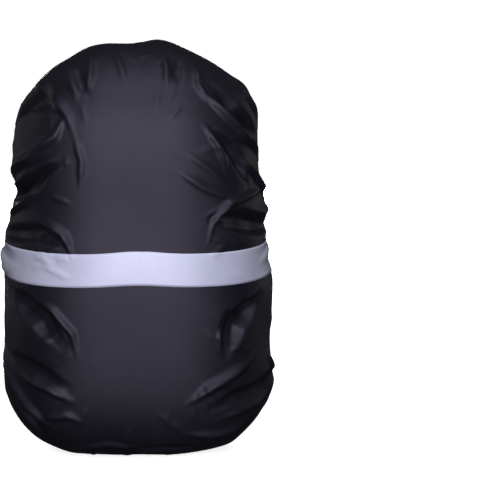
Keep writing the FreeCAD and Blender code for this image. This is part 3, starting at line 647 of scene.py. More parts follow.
class Cloth:
    """The finished cover cloth as a grid, with what is needed to lay other pieces on it."""

    def __init__(self):
        """rest is the smooth grid, points the folded one and out its normals; fx, fz are the flat cut."""
        self.rest, self.along, self.turn = base_cover(COLUMNS, RINGS)
        self.fx, self.fz = flat_map(self.along, self.turn)
        out = normals_of(self.rest)
        fine = gathers(self.along, self.turn)[0] * (1 - sewn_patch(self.turn))
        moved = self.settle(quick=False)
        lift = fine * smooth_step((self.along + 3.0) / 9.0) + front_folds(self) + hem_pleats(self)
        self.points = self.rest + moved + out * lift[..., None]
        self.points[..., 2] = np.maximum(self.points[..., 2], GROUND)
        self.out = normals_of(self.points)
        way = self.rest - CENTRE
        self.polar = np.arctan2(np.hypot(way[..., 0], way[..., 2]), way[..., 1])

    def settle(self, quick):
        """How far the folds move the smooth cloth. They're laid in on a coarser grid, which is then relaxed: its
        threads are a few percent longer than the laid folds at the slack corners, and a little at the tight front."""
        rings, columns = 64, 240
        base, along, turn = base_cover(columns, rings)
        fx, fz = flat_map(along, turn)
        spread = np.hypot(fx, fz)
        edge = np.maximum(np.abs(fx) / 92.0, np.abs(fz) / 240.0)
        loose = smooth_step((edge - 1.0) / 0.6)
        lift = gathers(along, turn)[1] + 1.6 * loose * crumple(fx, fz)
        lift *= smooth_step((along + 2.0) / 12.0)
        start = base + normals_of(base) * lift[..., None]
        start[..., 2] = np.maximum(start[..., 2], GROUND)
        if not quick:
            more, long = 1 + 0.002 + 0.006 * loose, 1 + 0.002 + 0.016 * loose
            nxt = np.roll(start, -1, axis=1)
            step_along = np.linalg.norm(np.diff(start, axis=0), axis=-1) * long[:-1]
            step_around = np.linalg.norm(nxt - start, axis=-1) * more
            both = (more + long)[:-1] / 2
            down = np.linalg.norm(nxt[1:] - start[:-1], axis=-1) * both
            up = np.linalg.norm(start[1:] - nxt[:-1], axis=-1) * both
            weight = smooth_step(along / 16.0) * smooth_step((spread - 10.0) / 60.0)
            for _ in range(16):
                start = relax(start, step_along, step_around, (down, up), weight, 0.10, 14)
                start = self.keep_near(start, base)
        return spread_out(start - base, RINGS, COLUMNS)

    def keep_near(self, p, base):
        """Keeps points off the rucksack inside, and no further out than the slack allows."""
        size = np.linalg.norm(base - CENTRE, axis=-1)
        now = np.linalg.norm(p - CENTRE, axis=-1)
        kept = np.clip(now, size - 14.0, size + 11.0)
        return CENTRE + (p - CENTRE) * (kept / now)[..., None]

    def at(self, ring, column, lift=0.0):
        """Points on the cloth at fractional ring and column numbers, lifted off along its normal."""
        ring = np.clip(ring, 0, RINGS - 1.001)
        i = np.floor(ring).astype(int)
        j = np.floor(column).astype(int)
        a, b = (ring - i)[..., None], (column - j)[..., None]
        j0, j1 = j % COLUMNS, (j + 1) % COLUMNS

        def mix(grid):
            """A grid's values between its four nearest points, by bilinear weights."""
            return (
                grid[i, j0] * (1 - a) * (1 - b) + grid[i, j1] * (1 - a) * b
                + grid[i + 1, j0] * a * (1 - b) + grid[i + 1, j1] * a * b
            )

        n = mix(self.out)
        n /= np.linalg.norm(n, axis=-1, keepdims=True) + 1e-9
        return mix(self.points) + n * lift

    def find(self, p):
        """Ring and column numbers of points on the smooth shape, by their direction from its middle."""
        way = p - CENTRE
        column = (np.arctan2(way[..., 2], way[..., 0]) % (2 * np.pi)) * COLUMNS / (2 * np.pi)
        polar = np.arctan2(np.hypot(way[..., 0], way[..., 2]), way[..., 1])
        flat_c, flat_p = column.ravel(), polar.ravel()
        j = np.floor(flat_c).astype(int)
        b = flat_c - j
        table = self.polar[:, j % COLUMNS] * (1 - b) + self.polar[:, (j + 1) % COLUMNS] * b
        i = np.clip((table < flat_p).sum(axis=0) - 1, 0, RINGS - 2)
        k = np.arange(len(i))
        low, high = table[i, k], table[i + 1, k]
        ring = i + np.clip((flat_p - low) / (high - low + 1e-9), 0, 1)
        return ring.reshape(p.shape[:-1]), column


def thicken(obj, thick, offset, inner=0):
    """Solidify, with the inner face's material counted on from the outer one and the rim's the same as it."""
    m = obj.modifiers.new("thickness", "SOLIDIFY")
    m.thickness = thick * MM
    m.offset = offset
    m.material_offset = inner
    m.material_offset_rim = 0


def make_cover(cloth, looks):
    """Two cut panels of cloth that meet under the reflective tape. Each is half of the grid's columns, closed at the
    front's middle by one point."""
    half = COLUMNS // 2
    panels = (("upper_cloth", "upper_shell", 0, 0.34), ("lower_cloth", "lower_shell", half, 0.38))
    for name, node, first, area in panels:
        j = (first + np.arange(half + 1)) % COLUMNS
        middle = cloth.points[-1].mean(axis=0)
        points = np.concatenate([cloth.points[:, j].reshape(-1, 3), middle[None, :]])
        uv = np.concatenate([np.stack([cloth.fx[:, j], cloth.fz[:, j]], axis=-1).reshape(-1, 2), [[0.0, 0.0]]]) * MM
        faces = grid_faces(RINGS, half + 1)
        last = (RINGS - 1) * (half + 1)
        fan = [[last + k, last + k + 1, last + k + 2, len(points) - 1] for k in range(0, half, 2)]
        obj = make_mesh(name, points, np.concatenate([faces, fan]), [looks["cloth"], looks["silver"]], uv=uv)
        thicken(obj, CLOTH_THICK, -1.0, inner=1)
        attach(obj, "cover")
        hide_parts(node)


def make_band(cloth, looks):
    """Reflective tape: a strip at one height round the smooth shape, laid on the folded cloth."""
    low, high = node_box("reflective_band")
    mid, half = (low[2] + high[2]) / 2 + BAND_RISE, BAND_WIDTH / 2
    rows, columns = 15, 460
    z = np.linspace(mid - half, mid + half, rows)[:, None] * np.ones((1, columns))
    start = math.atan2(OPEN_A + 4.0, BACK_Y - WIDE_Y)
    angle = np.linspace(start, 2 * np.pi - start, columns)[None, :] * np.ones((rows, 1))
    axis = np.stack([np.full(z.shape, HEM_MID[0]), np.full(z.shape, WIDE_Y), z], axis=-1)
    way = np.stack([np.sin(angle), np.cos(angle), np.zeros(z.shape)], axis=-1)
    near, far = np.full(z.shape, 10.0), np.full(z.shape, 300.0)
    for _ in range(30):
        middle = (near + far) / 2
        within = inside(axis + way * middle[..., None]) < 1
        near, far = np.where(within, middle, near), np.where(within, far, middle)
    ring, column = cloth.find(axis + way * near[..., None])
    points = cloth.at(ring, column, 0.9)
    step = np.linalg.norm(np.diff(points, axis=1), axis=-1)
    u = np.concatenate([np.zeros((rows, 1)), np.cumsum(step, axis=1)], axis=1)
    uv = np.stack([u, z - mid], axis=-1) * MM
    obj = make_mesh("reflective_tape", points, grid_faces(rows, columns), [looks["band"]], uv=uv)
    thicken(obj, 0.5, -1.0)
    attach(obj, "cover")
    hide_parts("reflective_band")


def retroreflective_tape():
    """Glass beads in a clear film over a grey backing: pale, slightly lavender, with an even fine grain and a soft
    glow. Beads of 0.05 mm are drawn at 0.8 mm."""
    material, tree, shader = blank("glass_bead_reflective_tape")
    where = object_place(tree)
    grain = noise(tree, where, 1250.0, 1.0)
    cloud = noise(tree, where, 11.0, 3.0)
    pale = ramp(tree, cloud, [(0.3, "#c3c5dc"), (0.7, "#cfd1e6")])
    dark = ramp(tree, grain, [(0.3, "#e2e2e2"), (0.7, "#ffffff")])
    tint = add(tree, "ShaderNodeMix", {"data_type": "RGBA", "blend_type": "MULTIPLY"}, i0=0.6, i6=pale, i7=dark)
    tree.links.new(tint.outputs[2], shader.inputs["Base Color"])
    bump = add(tree, "ShaderNodeBump", Strength=0.12, Distance=0.0003, Height=grain)
    tree.links.new(bump.outputs[0], shader.inputs["Normal"])
    shader.inputs["Roughness"].default_value = 0.46
    shader.inputs["Metallic"].default_value = 0.12
    return material


# ---- Tools for sewn and moulded pieces --------------------------------------------------------------------------


def unit(v):
    """Vectors v / |v|, taken along the last axis."""
    return v / (np.linalg.norm(v, axis=-1, keepdims=True) + 1e-9)


def round_off(points, rounds=2):
    """Cuts the corners of a line until it runs smoothly. Its ends stay."""
    p = np.asarray(points, float)
    for _ in range(rounds):
        cut = np.stack([0.75 * p[:-1] + 0.25 * p[1:], 0.25 * p[:-1] + 0.75 * p[1:]], axis=1)
        p = np.concatenate([p[:1], cut.reshape(-1, p.shape[1]), p[-1:]])
    return p


def even(points, step):
    """The same line with evenly spaced points."""
    points = np.asarray(points, float)
    run = np.linalg.norm(np.diff(points, axis=0), axis=1)
    walked = np.concatenate([[0], np.cumsum(run)])
    asked = np.linspace(0, walked[-1], max(int(round(walked[-1] / step)), 2) + 1)
    return np.stack([np.interp(asked, walked, points[:, k]) for k in range(3)], axis=1)


def turn_outwards(obj):
    """Turns every face of a closed piece outwards."""
    bm = bmesh.new()
    bm.from_mesh(obj.data)
    bmesh.ops.recalc_face_normals(bm, faces=bm.faces)
    bm.to_mesh(obj.data)
    bm.free()
    return obj


def face_towards(obj, direction):
    """Flips an open piece if its faces look away from a direction on the whole."""
    normals = np.empty(len(obj.data.polygons) * 3)
    obj.data.polygons.foreach_get("normal", normals)
    if (normals.reshape(-1, 3) @ np.asarray(direction, float)).sum() < 0:
        obj.data.flip_normals()


def belongs(obj, body, finish, *nodes):
    """Joins a piece to its body, in place of CAD nodes. Its finish is not used."""
    if body:
        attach(obj, body)
    if nodes:
        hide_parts(*nodes)


def ribbon(name, line, across, look, width=WEB_WIDTH, thick=1.2):
    """Flat webbing along a line. Its section has soft edges and lies square to the line. UV is the distance along and
    across it."""
    line = np.asarray(line, float)
    ahead = unit(np.gradient(line, axis=0))
    across = np.broadcast_to(np.asarray(across, float), line.shape)
    across = unit(across - ahead * np.sum(ahead * across, axis=1, keepdims=True))
    out = np.cross(ahead, across)
    corner = 0.4 * thick
    flat = np.linspace(corner - width / 2, width / 2 - corner, 7)
    top, edge = np.full(7, thick / 2), thick / 2 - corner
    a = np.concatenate([flat, [width / 2, width / 2], flat[::-1], [-width / 2, -width / 2]])
    b = np.concatenate([top, [edge, -edge], -top, [-edge, edge]])
    grid = line[:, None] + a[None, :, None] * across[:, None] + b[None, :, None] * out[:, None]
    rows, m = len(line), len(a)
    upper, under = np.array([17, 0, 1, 2, 3, 4, 5, 6, 7]), np.array([16, 15, 14, 13, 12, 11, 10, 9, 8])
    cap = np.stack([upper[:-1], upper[1:], under[1:], under[:-1]], axis=1)
    faces = np.concatenate([grid_faces(rows, m, wrap_columns=True), cap, cap + (rows - 1) * m])
    walked = np.concatenate([[0], np.cumsum(np.linalg.norm(np.diff(line, axis=0), axis=1))])
    uv = np.stack(np.broadcast_arrays(walked[:, None], a[None, :]), axis=-1) * MM
    return turn_outwards(make_mesh(name, grid, faces, [look], uv=uv))


def stitches(name, places, ahead, out, look, length=2.6, thick=0.55):
    """Stitches of thread, each a six-sided rod that dips into the cloth at both ends."""
    places, ahead, out = (np.atleast_2d(np.asarray(v, float)) for v in (places, ahead, out))
    ahead, out = np.broadcast_to(ahead, places.shape), np.broadcast_to(out, places.shape)
    side = np.cross(ahead, out)
    t = np.array([-0.5, -0.3, 0.3, 0.5]) * length
    rise = np.array([-0.6, 0.25, 0.25, -0.6]) * thick
    turn = np.arange(6) * np.pi / 3
    up = rise[:, None] + thick / 2 * np.sin(turn)[None, :]
    aside = np.broadcast_to(thick / 2 * np.cos(turn), up.shape)
    grid = (
        places[:, None, None] + ahead[:, None, None] * t[None, :, None, None]
        + out[:, None, None] * up[None, :, :, None] + side[:, None, None] * aside[None, :, :, None]
    )
    one = grid_faces(4, 6, wrap_columns=True)
    faces = (one[None] + 24 * np.arange(len(places))[:, None, None]).reshape(-1, 4)
    return turn_outwards(make_mesh(name, grid, faces, [look]))


def moulded(node, look, bevel=0.45, segments=3):
    """A CAD node's shape as one closed mesh, with its edges rounded."""
    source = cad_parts[node]
    mesh = source.data.copy()
    mesh.transform(source.matrix_world)
    bm = bmesh.new()
    bm.from_mesh(mesh)
    bmesh.ops.remove_doubles(bm, verts=bm.verts, dist=2e-6)
    bmesh.ops.dissolve_limit(bm, angle_limit=math.radians(0.5), verts=bm.verts, edges=bm.edges)
    bmesh.ops.recalc_face_normals(bm, faces=bm.faces)
    for face in bm.faces:
        face.smooth = True
    bm.to_mesh(mesh)
    bm.free()
    mesh.materials.clear()
    mesh.materials.append(look)
    obj = bpy.data.objects.new(node + "_shape", mesh)
    bpy.context.collection.objects.link(obj)
    m = obj.modifiers.new("rounded_edges", "BEVEL")
    m.width = bevel * MM
    m.segments = segments
    m.limit_method = "ANGLE"
    m.angle_limit = math.radians(32)
    m.harden_normals = True
    m.use_clamp_overlap = True
    return obj


# ---- Hem, sealing tapes and dart seams --------------------------------------------------------------------------


def hem_ring(cloth, distance):
    """Ring numbers, one a column, at a distance from the hem's edge along the cloth."""
    i = np.clip((cloth.along < distance).sum(axis=0) - 1, 0, RINGS - 2)
    j = np.arange(COLUMNS)
    low, high = cloth.along[i, j], cloth.along[i + 1, j]
    return i + np.clip((distance - low) / (high - low), 0, 1)


def make_hem(cloth, looks):
    """Binding folded round the cloth's edge: out over its face, round the edge and back inside, 11 mm on each side.
    Two rows of stitches hold it, and its end overlaps low on one side."""
    outline = [
        (11.0, 0.7), (10.3, 1.2), (7.5, 1.3), (4.0, 1.35), (1.0, 1.3), (-0.7, 0.8), (-1.2, -0.2), (-0.7, -1.3),
        (1.0, -1.8), (4.0, -1.85), (7.5, -1.8), (10.3, -1.7), (11.0, -1.2),
    ]
    columns = np.arange(COLUMNS, dtype=float)
    inwards = unit(cloth.points[0] - cloth.points[1])
    rows = []
    for distance, lift in outline:
        rows.append(cloth.at(hem_ring(cloth, max(distance, 0.0)), columns, lift) - inwards * min(distance, 0.0))
    grid = np.array(rows)
    step = np.linalg.norm(np.roll(grid[3], -1, axis=0) - grid[3], axis=1)
    walked = np.concatenate([[0], np.cumsum(step)])
    across = np.array([d if lift > -0.5 else -2 - d for d, lift in outline])
    uv = np.stack(np.broadcast_arrays(walked[None, :-1], across[:, None]), axis=-1) * MM
    faces = grid_faces(len(rows), COLUMNS, wrap_columns=True)
    obj = make_mesh("hem_binding_tape", grid, faces, [looks["binding"]], uv=uv)
    face_towards_hem(obj)
    thicken(obj, 0.6, -1.0)
    belongs(obj, "cover", "binding", "hem_binding", "hem_elastic")

    for number, distance in enumerate((2.6, 9.2)):
        ring = hem_ring(cloth, distance)
        count = int(walked[-1] / 3.7)
        column = np.interp(np.arange(count) * walked[-1] / count, walked, np.arange(COLUMNS + 1))
        level = np.interp(column, np.arange(COLUMNS + 1), np.append(ring, ring[0]))
        places = cloth.at(level, column, 1.42)
        ahead = unit(cloth.at(level, column + 0.4, 1.42) - places)
        out = unit(cloth.at(level, column, 3.0) - places)
        row = stitches(f"hem_stitches_{number + 1}", places, ahead, out, looks["thread"], length=2.9, thick=0.6)
        belongs(row, "cover", "thread")

    # The overlapping end runs on over the binding and leaves it a little.
    column = np.linspace(0.655, 0.598, 26) * COLUMNS
    far = np.linspace(0, 1, 26)
    distance = 5.4 + 7.5 * smooth_step((far - 0.35) / 0.65)
    ring = np.array([hem_ring(cloth, d)[int(c)] for d, c in zip(distance, column)])
    line = cloth.at(ring, column, 1.0) + unit(cloth.at(ring, column, 2.0) - cloth.at(ring, column, 0.0)) * (
        1.1 * smooth_step(far / 0.3) + 1.4 * smooth_step((far - 0.6) / 0.4)
    )[:, None]
    out = unit(cloth.at(ring, column, 2.0) - cloth.at(ring, column, 0.0))
    across = np.cross(out, unit(np.gradient(line, axis=0)))
    end = ribbon("hem_binding_end", line, across, looks["binding"], width=10.6, thick=1.7)
    belongs(end, "cover", "binding")


def face_towards_hem(obj):
    """The binding's first faces lie on the cover's back, so they look that way."""
    normal = sum((obj.data.polygons[i].normal for i in range(0, COLUMNS, 10)), Vector())
    if normal.y < 0:
        obj.data.flip_normals()


def make_seams(cloth, looks):
    """At each corner a dart runs from the hem to the front corner: a narrow felled seam outside, and a sealing tape
    over it inside."""
    for name in ("upper_right", "upper_left", "lower_left", "lower_right"):
        node = f"{name}_seam_tape"
        low, high = node_box(node)
        corner = np.array([high[0] if "right" in name else low[0], high[2] if "upper" in name else low[2]])
        rise = corner - HEM_MID[[0, 2]]
        turn = math.atan2(rise[1], rise[0]) % (2 * np.pi)
        middle = turn * COLUMNS / (2 * np.pi)
        j = int(round(middle)) % COLUMNS
        last = int(np.argmin(np.abs(cloth.rest[:, j, 1] - low[1])))
        first = float(hem_ring(cloth, 12.0)[j])
        side_end = int(np.argmin(np.abs(cloth.rest[:, j, 1] - WIDE_Y - 14.0)))
        for label, width, lift, count, look in (("tape", 20.0, -2.4, 13, "seam_tape"), ("seam", 4.2, 0.35, 5, "cloth")):
            ring = np.linspace(first, last if label == "tape" else side_end, 150)
            spot = cloth.rest[np.clip(ring.astype(int), 0, RINGS - 1), j]
            reach = np.hypot(spot[:, 0] - HEM_MID[0], spot[:, 2] - HEM_MID[2])
            side = np.linspace(-width / 2, width / 2, count)
            column = middle + side[None, :] / reach[:, None] * COLUMNS / (2 * np.pi)
            raised = np.full(column.shape, lift)
            if label == "seam":
                raised += 0.35 * np.array([-1.2, 0.8, 1.0, 0.8, -1.2])[None, :]
            points = cloth.at(np.repeat(ring[:, None], count, axis=1), column, raised[..., None])
            run = np.concatenate([[0], np.cumsum(np.linalg.norm(np.diff(points[:, 0], axis=0), axis=1))])
            uv = np.stack(np.broadcast_arrays(run[:, None], side[None, :]), axis=-1) * MM
            obj = make_mesh(f"{name}_dart_{label}", points, grid_faces(150, count), [looks[look]], uv=uv)
            face_towards(obj, np.array([rise[0], 60.0, rise[1]]))
            if label == "tape":
                thicken(obj, 0.3, -1.0)
                belongs(obj, "cover", "seam_tape", node)
            else:
                belongs(obj, "cover", "cover_cloth")


# ---- Straps and buckles -----------------------------------------------------------------------------------------


class Strap:
    """A strap's own axes: u along it towards its anchor, v across it, w off the cover, from its buckle's middle."""

    def __init__(self, which):
        """Sets the axes from the buckle socket, and where the hem and the far sewn end lie along u."""
        low, high = node_box(f"{which}_buckle_socket")
        mid = (low + high) / 2
        self.w = np.array([0.0, 1.0, 0.0])
        if which == "top":
            self.origin = np.array([mid[0], low[1], high[2] - 23.0])
            self.u, self.v = np.array([0.0, 0.0, 1.0]), np.array([1.0, 0.0, 0.0])
            self.hem = HEM_HIGH[2] - HEM_WIDTH - self.origin[2]
            self.sewn = HEM_LOW[2] + HEM_WIDTH - self.origin[2]
        else:
            self.origin = np.array([high[0] - 23.0, low[1], mid[2]])
            self.u, self.v = np.array([1.0, 0.0, 0.0]), np.array([0.0, 0.0, -1.0])
            self.hem = HEM_HIGH[0] - HEM_WIDTH - self.origin[0]
            self.sewn = HEM_LOW[0] + HEM_WIDTH - self.origin[0]
        self.drop = self.origin[1] - (HEM_HIGH[1] + 0.2)

    def at(self, u, v, w):
        """Points at u, v, w in mm."""
        u, v, w = (np.asarray(x, float)[..., None] for x in (u, v, w))
        return self.origin + u * self.u + v * self.v + w * self.w

    def line(self, points, rounds=3, step=1.2):
        """A (u, w) line, rounded and evenly stepped, in the frame."""
        p = np.asarray(points, float)
        return even(round_off(self.at(p[:, 0], np.zeros(len(p)), p[:, 1]), rounds), step)

    def bar_tack(self, name, u, w, look, rows=2, slope=0.0, shift=0.0):
        """Rows of close stitches across the webbing."""
        v = np.linspace(-10.2, 10.2, 11)
        places = np.concatenate([self.at(u + 1.5 * k + slope * v, v + shift, np.full(11, w)) for k in range(rows)])
        ahead = unit(self.v + slope * self.u)
        return stitches(name, places, ahead, self.w, look, length=2.2, thick=0.65)


def make_straps(looks):
    """Two straps cross over the opening. Each has a short anchor looped through its buckle's socket, a long run sewn to
    the far side of the hem, a turn round the plug's bar and a loose tail with a folded end."""
    web, thread = looks["webbing"], looks["thread"]
    for which in ("top", "side"):
        s = Strap(which)
        drop = s.drop
        low, high = 0.6 - drop, 2.0 - drop
        loop = [(s.hem + 9, low), (s.hem - 6, low), (24.5, 1.6), (19.2, 1.6), (18.3, 2.4), (18.2, 5.6), (19.2, 6.4)]
        loop += [(24.5, 6.4), (s.hem - 6, high + 0.5), (s.hem - 1, high + 0.1), (s.hem + 9, high)]
        belongs(ribbon(f"{which}_anchor_loop", s.line(loop), s.v, web), "cover", "webbing", f"{which}_anchor_webbing")

        run = [(s.sewn - 9, low), (s.sewn + 4, low), (s.sewn + 20, 0.6 - 0.7 * drop), (s.sewn + 44, 0.6), (-11.1, 0.6)]
        strap = ribbon(f"{which}_strap_run", s.line(run, step=2.0), s.v, web)
        s.at(s.sewn + 10, 0, 0) * MM
        s.at(-30.0, 0, 0) * MM
        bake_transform(strap)
        belongs(strap, None, "webbing", f"{which}_strap")

        turn = [(-10.2, 0.6), (-10.0, 4.0), (-10.5, 5.2), (-11.6, 5.3), (-16.4, 5.3), (-17.6, 5.2), (-18.2, 3.8)]
        turn += [(-18.6, 2.4), (-19.6, 2.0), (-23.9, 2.0)]
        turn = ribbon(f"{which}_turn", s.line(turn, 2, 0.5), s.v, web)
        belongs(turn, f"{which}_plug", "webbing", f"{which}_strap_wrap")

        tack = s.bar_tack(f"{which}_anchor_tack", s.hem + 3.6, high + 0.75, thread)
        belongs(tack, "cover", "thread", f"{which}_anchor_stitching")
        tack = s.bar_tack(f"{which}_strap_tack", s.sewn - 5.1, low + 0.75, thread)
        belongs(tack, "cover", "thread", f"{which}_strap_stitching")

        for node, body in (("buckle_socket", "cover"), ("buckle_plug", f"{which}_plug"),
                           ("prong_a", f"{which}_prong_left"), ("prong_b", f"{which}_prong_right")):
            belongs(moulded(f"{which}_{node}", looks["acetal"]), body, "buckle", f"{which}_{node}")

    # The top tail: straight down to a crease, then a little to one side.
    s = Strap("top")
    start, crease, end = -25.2, -112.0, -190.2
    slant = math.tan(math.radians(9.0))
    path = [(start, 0, 2.0), (start - 12, 0, 2.4), (crease + 30, 0, 3.3), (crease + 2, 0, 4.0), (crease, 0, 4.2)]
    u = np.array([crease - 2, crease - 20, end + 20, end + 3, end])
    path += [(x, (crease - x) * slant, w) for x, w in zip(u, [3.9, 3.3, 2.4, 2.3, 2.3])]
    shift = (crease - end) * slant
    path += [(end - 0.7, shift, 2.9), (end, shift, 3.6), (end + 9, shift - 9 * slant, 3.65)]
    p = np.array(path)
    line = even(s.at(p[:, 0], p[:, 1], p[:, 2]), 1.0)
    across = np.where(line[:, 2:3] > s.origin[2] + crease, s.v, unit(s.v + slant * s.u))
    belongs(ribbon("top_tail_webbing", line, across, web), "top_tail", "webbing", "top_strap_tail")
    tack = s.bar_tack("top_tail_tack", end + 5.2, 4.42, thread, rows=1, slope=slant, shift=shift - 5.2 * slant)
    belongs(tack, "top_tail", "thread", "top_tail_stitching")

    # The side tail: out of the plug, round and down, and a slow curve to its end.
    s = Strap("side")
    top, foot = s.origin[2], s.origin[2] - 134.0
    x, y = s.origin[0] - 24.1, s.origin[1]
    path = [
        (x, y + 2.0, top), (x - 2, y + 2.3, top), (x - 6, y + 5.4, top - 0.4), (x - 10.5, y + 8.2, top - 3.5),
        (x - 14.5, y + 8.7, top - 9.5), (x - 16.0, y + 8.6, top - 17), (x - 16.8, y + 8.4, top - 40),
        (x - 16.0, y + 8.2, top - 80), (x - 12.5, y + 8.0, foot + 14), (x - 10.7, y + 8.0, foot + 3),
        (x - 10.3, y + 8.0, foot), (x - 10.3, y + 8.6, foot - 0.8), (x - 10.3, y + 9.25, foot),
        (x - 10.8, y + 9.3, foot + 9),
    ]
    line = even(round_off(np.array(path[:10]), 3), 1.0)
    line = np.concatenate([line, even(np.array(path[10:]), 0.6)])
    ahead = unit(np.gradient(line, axis=0))
    bend = np.exp(-(((line[:, 2] - (top - 8)) / 9.0) ** 2))[:, None]
    across = unit(np.cross(np.array([0.0, 1.0, 0.0]) + bend * np.array([-0.10, 0.0, 0.10]), ahead))
    after = np.arange(len(line)) > np.argmin(line[:, 2])
    across[after] = -across[after]
    for k in np.nonzero(np.abs(ahead[:, 1]) > 0.7)[0]:
        if line[k, 2] < foot + 2:
            across[k] = across[k - 1] * np.sign(np.dot(across[k - 1], (-1, 0, 0)) or 1)
    across[line[:, 2] < foot + 12] = unit(np.array([-1.0, 0.0, -0.11]))
    tail = ribbon("side_tail_webbing", line, across, web)
    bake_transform(tail)
    belongs(tail, None, "webbing", "side_tail_turn", "side_strap_tail")
    v = np.linspace(-10, 10, 11)
    places = np.stack([x - 10.6 + v, np.full(11, y + 10.05), foot + 5.6 + 0.11 * v], axis=1)
    tack = stitches("side_tail_tack", places, unit(np.array([1.0, 0.0, 0.11])), s.w, thread, length=2.2, thick=0.65)
    belongs(tack, "side_tail", "thread", "side_tail_stitching")


# ---- Pouch and its zip ------------------------------------------------------------------------------------------


def crinkles(x, z, seed):
    """Fine creases of folded thin cloth: the ridges where a few slow waves change sides."""
    rng = np.random.default_rng(seed)
    total = np.zeros(x.shape)
    for _ in range(7):
        pitch, way, phase = rng.uniform(60, 150), rng.uniform(0, np.pi), rng.uniform(0, 2 * np.pi)
        wave = np.sin(2 * np.pi * (x * np.cos(way) + z * np.sin(way)) / pitch + phase)
        total += (1 - np.abs(wave)) ** 3 * rng.uniform(0.4, 1.0)
    return total / 2.2


def make_pouch(looks):
    """A flat pouch of two panels with a bound edge. It hangs on a tape from the hem and opens by a zip up its inner
    side."""
    low, high = node_box("pouch_edge_binding")
    zip_low, zip_high = node_box("zip_tape_left")
    zip_x, zip_face = zip_high[0], zip_low[1]
    rows, columns = 74, 56
    t, c = np.linspace(0, 1, rows)[:, None], np.linspace(0, 1, columns)[None, :]
    x = low[0] + 1.4 + c * (high[0] - low[0] - 2.8) + 0 * t
    z = low[2] + 1.4 + t * (high[2] - low[2] - 2.8) + 0 * c
    edge = np.minimum.reduce([x - low[0], high[0] - x, z - low[2], high[2] - z])
    beside = smooth_step((zip_x - 13.0 - x) / 26.0)
    full = smooth_step(edge / 42.0)
    pucker = np.sin(z / 3.1) * 0.35 * np.exp(-((edge / 9.0) ** 2))
    for name, sign in (("front", 1), ("back", -1)):
        rest = zip_face - 0.25 if sign > 0 else low[1] + 0.3
        free = beside if sign > 0 else smooth_step(edge / 20.0)
        puff = 4.6 * full * free + (1.3 * crinkles(x, z, 4 + sign) * smooth_step(edge / 16.0) + pucker) * free
        y = rest + (puff if sign > 0 else -0.45 * puff)
        uv = np.stack([x, z], axis=-1) * MM
        grid = np.stack([x, y, z], axis=-1)
        obj = make_mesh(f"pouch_{name}_cloth", grid, grid_faces(rows, columns), [looks["pouch"]], uv=uv)
        face_towards(obj, (0, sign, 0))
        thicken(obj, 0.4, -1.0)
        belongs(obj, "pouch", "pouch_cloth", f"pouch_{name}_panel")

    # Bound edge: a soft folded strip round the outline.
    corner = 5.0
    x0, x1, z0, z1 = low[0] + 1.5, high[0] - 1.5, low[2] + 1.5, high[2] - 1.5
    quarter = np.linspace(0, np.pi / 2, 8)
    path = []
    for cx, cz, first in ((x1, z1, 0), (x0, z1, 1), (x0, z0, 2), (x1, z0, 3)):
        px = cx - corner * (1 if cx == x1 else -1)
        pz = cz - corner * (1 if cz == z1 else -1)
        turn = quarter + first * np.pi / 2
        path += [(px + corner * math.cos(a), (low[1] + high[1]) / 2, pz + corner * math.sin(a)) for a in turn]
    path = even(np.array(path + path[:1]), 2.5)[:-1]
    ahead = unit(np.roll(path, -1, axis=0) - np.roll(path, 1, axis=0))
    out = np.cross(ahead, np.array([0.0, 1.0, 0.0]))
    turn = np.linspace(0, 2 * np.pi, 16, endpoint=False)
    flat_x = 1.55 * np.sign(np.cos(turn)) * np.abs(np.cos(turn)) ** 0.55
    flat_y = 1.5 * np.sign(np.sin(turn)) * np.abs(np.sin(turn)) ** 0.55
    wander = 0.25 * np.sin(np.arange(len(path)) * 2.5 / 7.0)[:, None, None]
    grid = path[:, None] + (flat_x[None, :, None] + wander) * out[:, None]
    grid = grid + flat_y[None, :, None] * np.array([0.0, 1.0, 0.0])
    run = np.arange(len(path)) * 2.5
    uv = np.stack(np.broadcast_arrays(run[:, None], turn[None, :] * 1.6), axis=-1) * MM
    edge_faces = grid_faces(len(path), 16, wrap_columns=True, wrap_rows=True)
    obj = turn_outwards(make_mesh("pouch_bound_edge", grid, edge_faces, [looks["pouch"]], uv=uv))
    belongs(obj, "pouch", "pouch_cloth", "pouch_edge_binding")

    # Zip: two tapes, two rows of teeth that mesh, stops, slider and pull.
    for name, side in (("left", -1), ("right", 1)):
        a, b = node_box(f"zip_tape_{name}")
        mid = (a + b) / 2
        line = np.array([[mid[0], mid[1], z] for z in np.linspace(a[2], b[2], 60)])
        tape = ribbon(f"zip_{name}_tape", line, (1, 0, 0), looks["zip_tape"], width=b[0] - a[0], thick=0.6)
        belongs(tape, "pouch", "zip_tape", f"zip_tape_{name}")
        row = np.arange(a[2] + 4, b[2] - 4, 3.6)
        places = np.stack([np.full(len(row), zip_x + side * 8.2), np.full(len(row), b[1] + 0.1), row], axis=1)
        row = stitches(f"zip_{name}_stitches", places, (0, 0, 1), (0, 1, 0), looks["thread"], 2.7, 0.5)
        belongs(row, "pouch", "thread")
        a, b = node_box(f"zip_coil_{name}")
        row = np.arange(a[2] + 0.6, b[2] - 0.6, 1.5) + (0.75 if side > 0 else 0.0)
        places = np.stack([np.full(len(row), zip_x + side * 0.85), np.full(len(row), b[1] - 0.75), row], axis=1)
        teeth = stitches(f"zip_{name}_teeth", places, (1, 0, 0), (0, 1, 0), looks["zip_coil"], length=2.9, thick=1.05)
        belongs(teeth, "pouch", "zip_coil", f"zip_coil_{name}")
    metal = (("zip_bottom_stop", "pouch"), ("zip_top_stop", "pouch"), ("zip_slider", "slider"), ("zip_pull", "pull"))
    for node, body in metal:
        belongs(moulded(node, looks["zinc"], bevel=0.3, segments=2), body, "zip_metal", node)

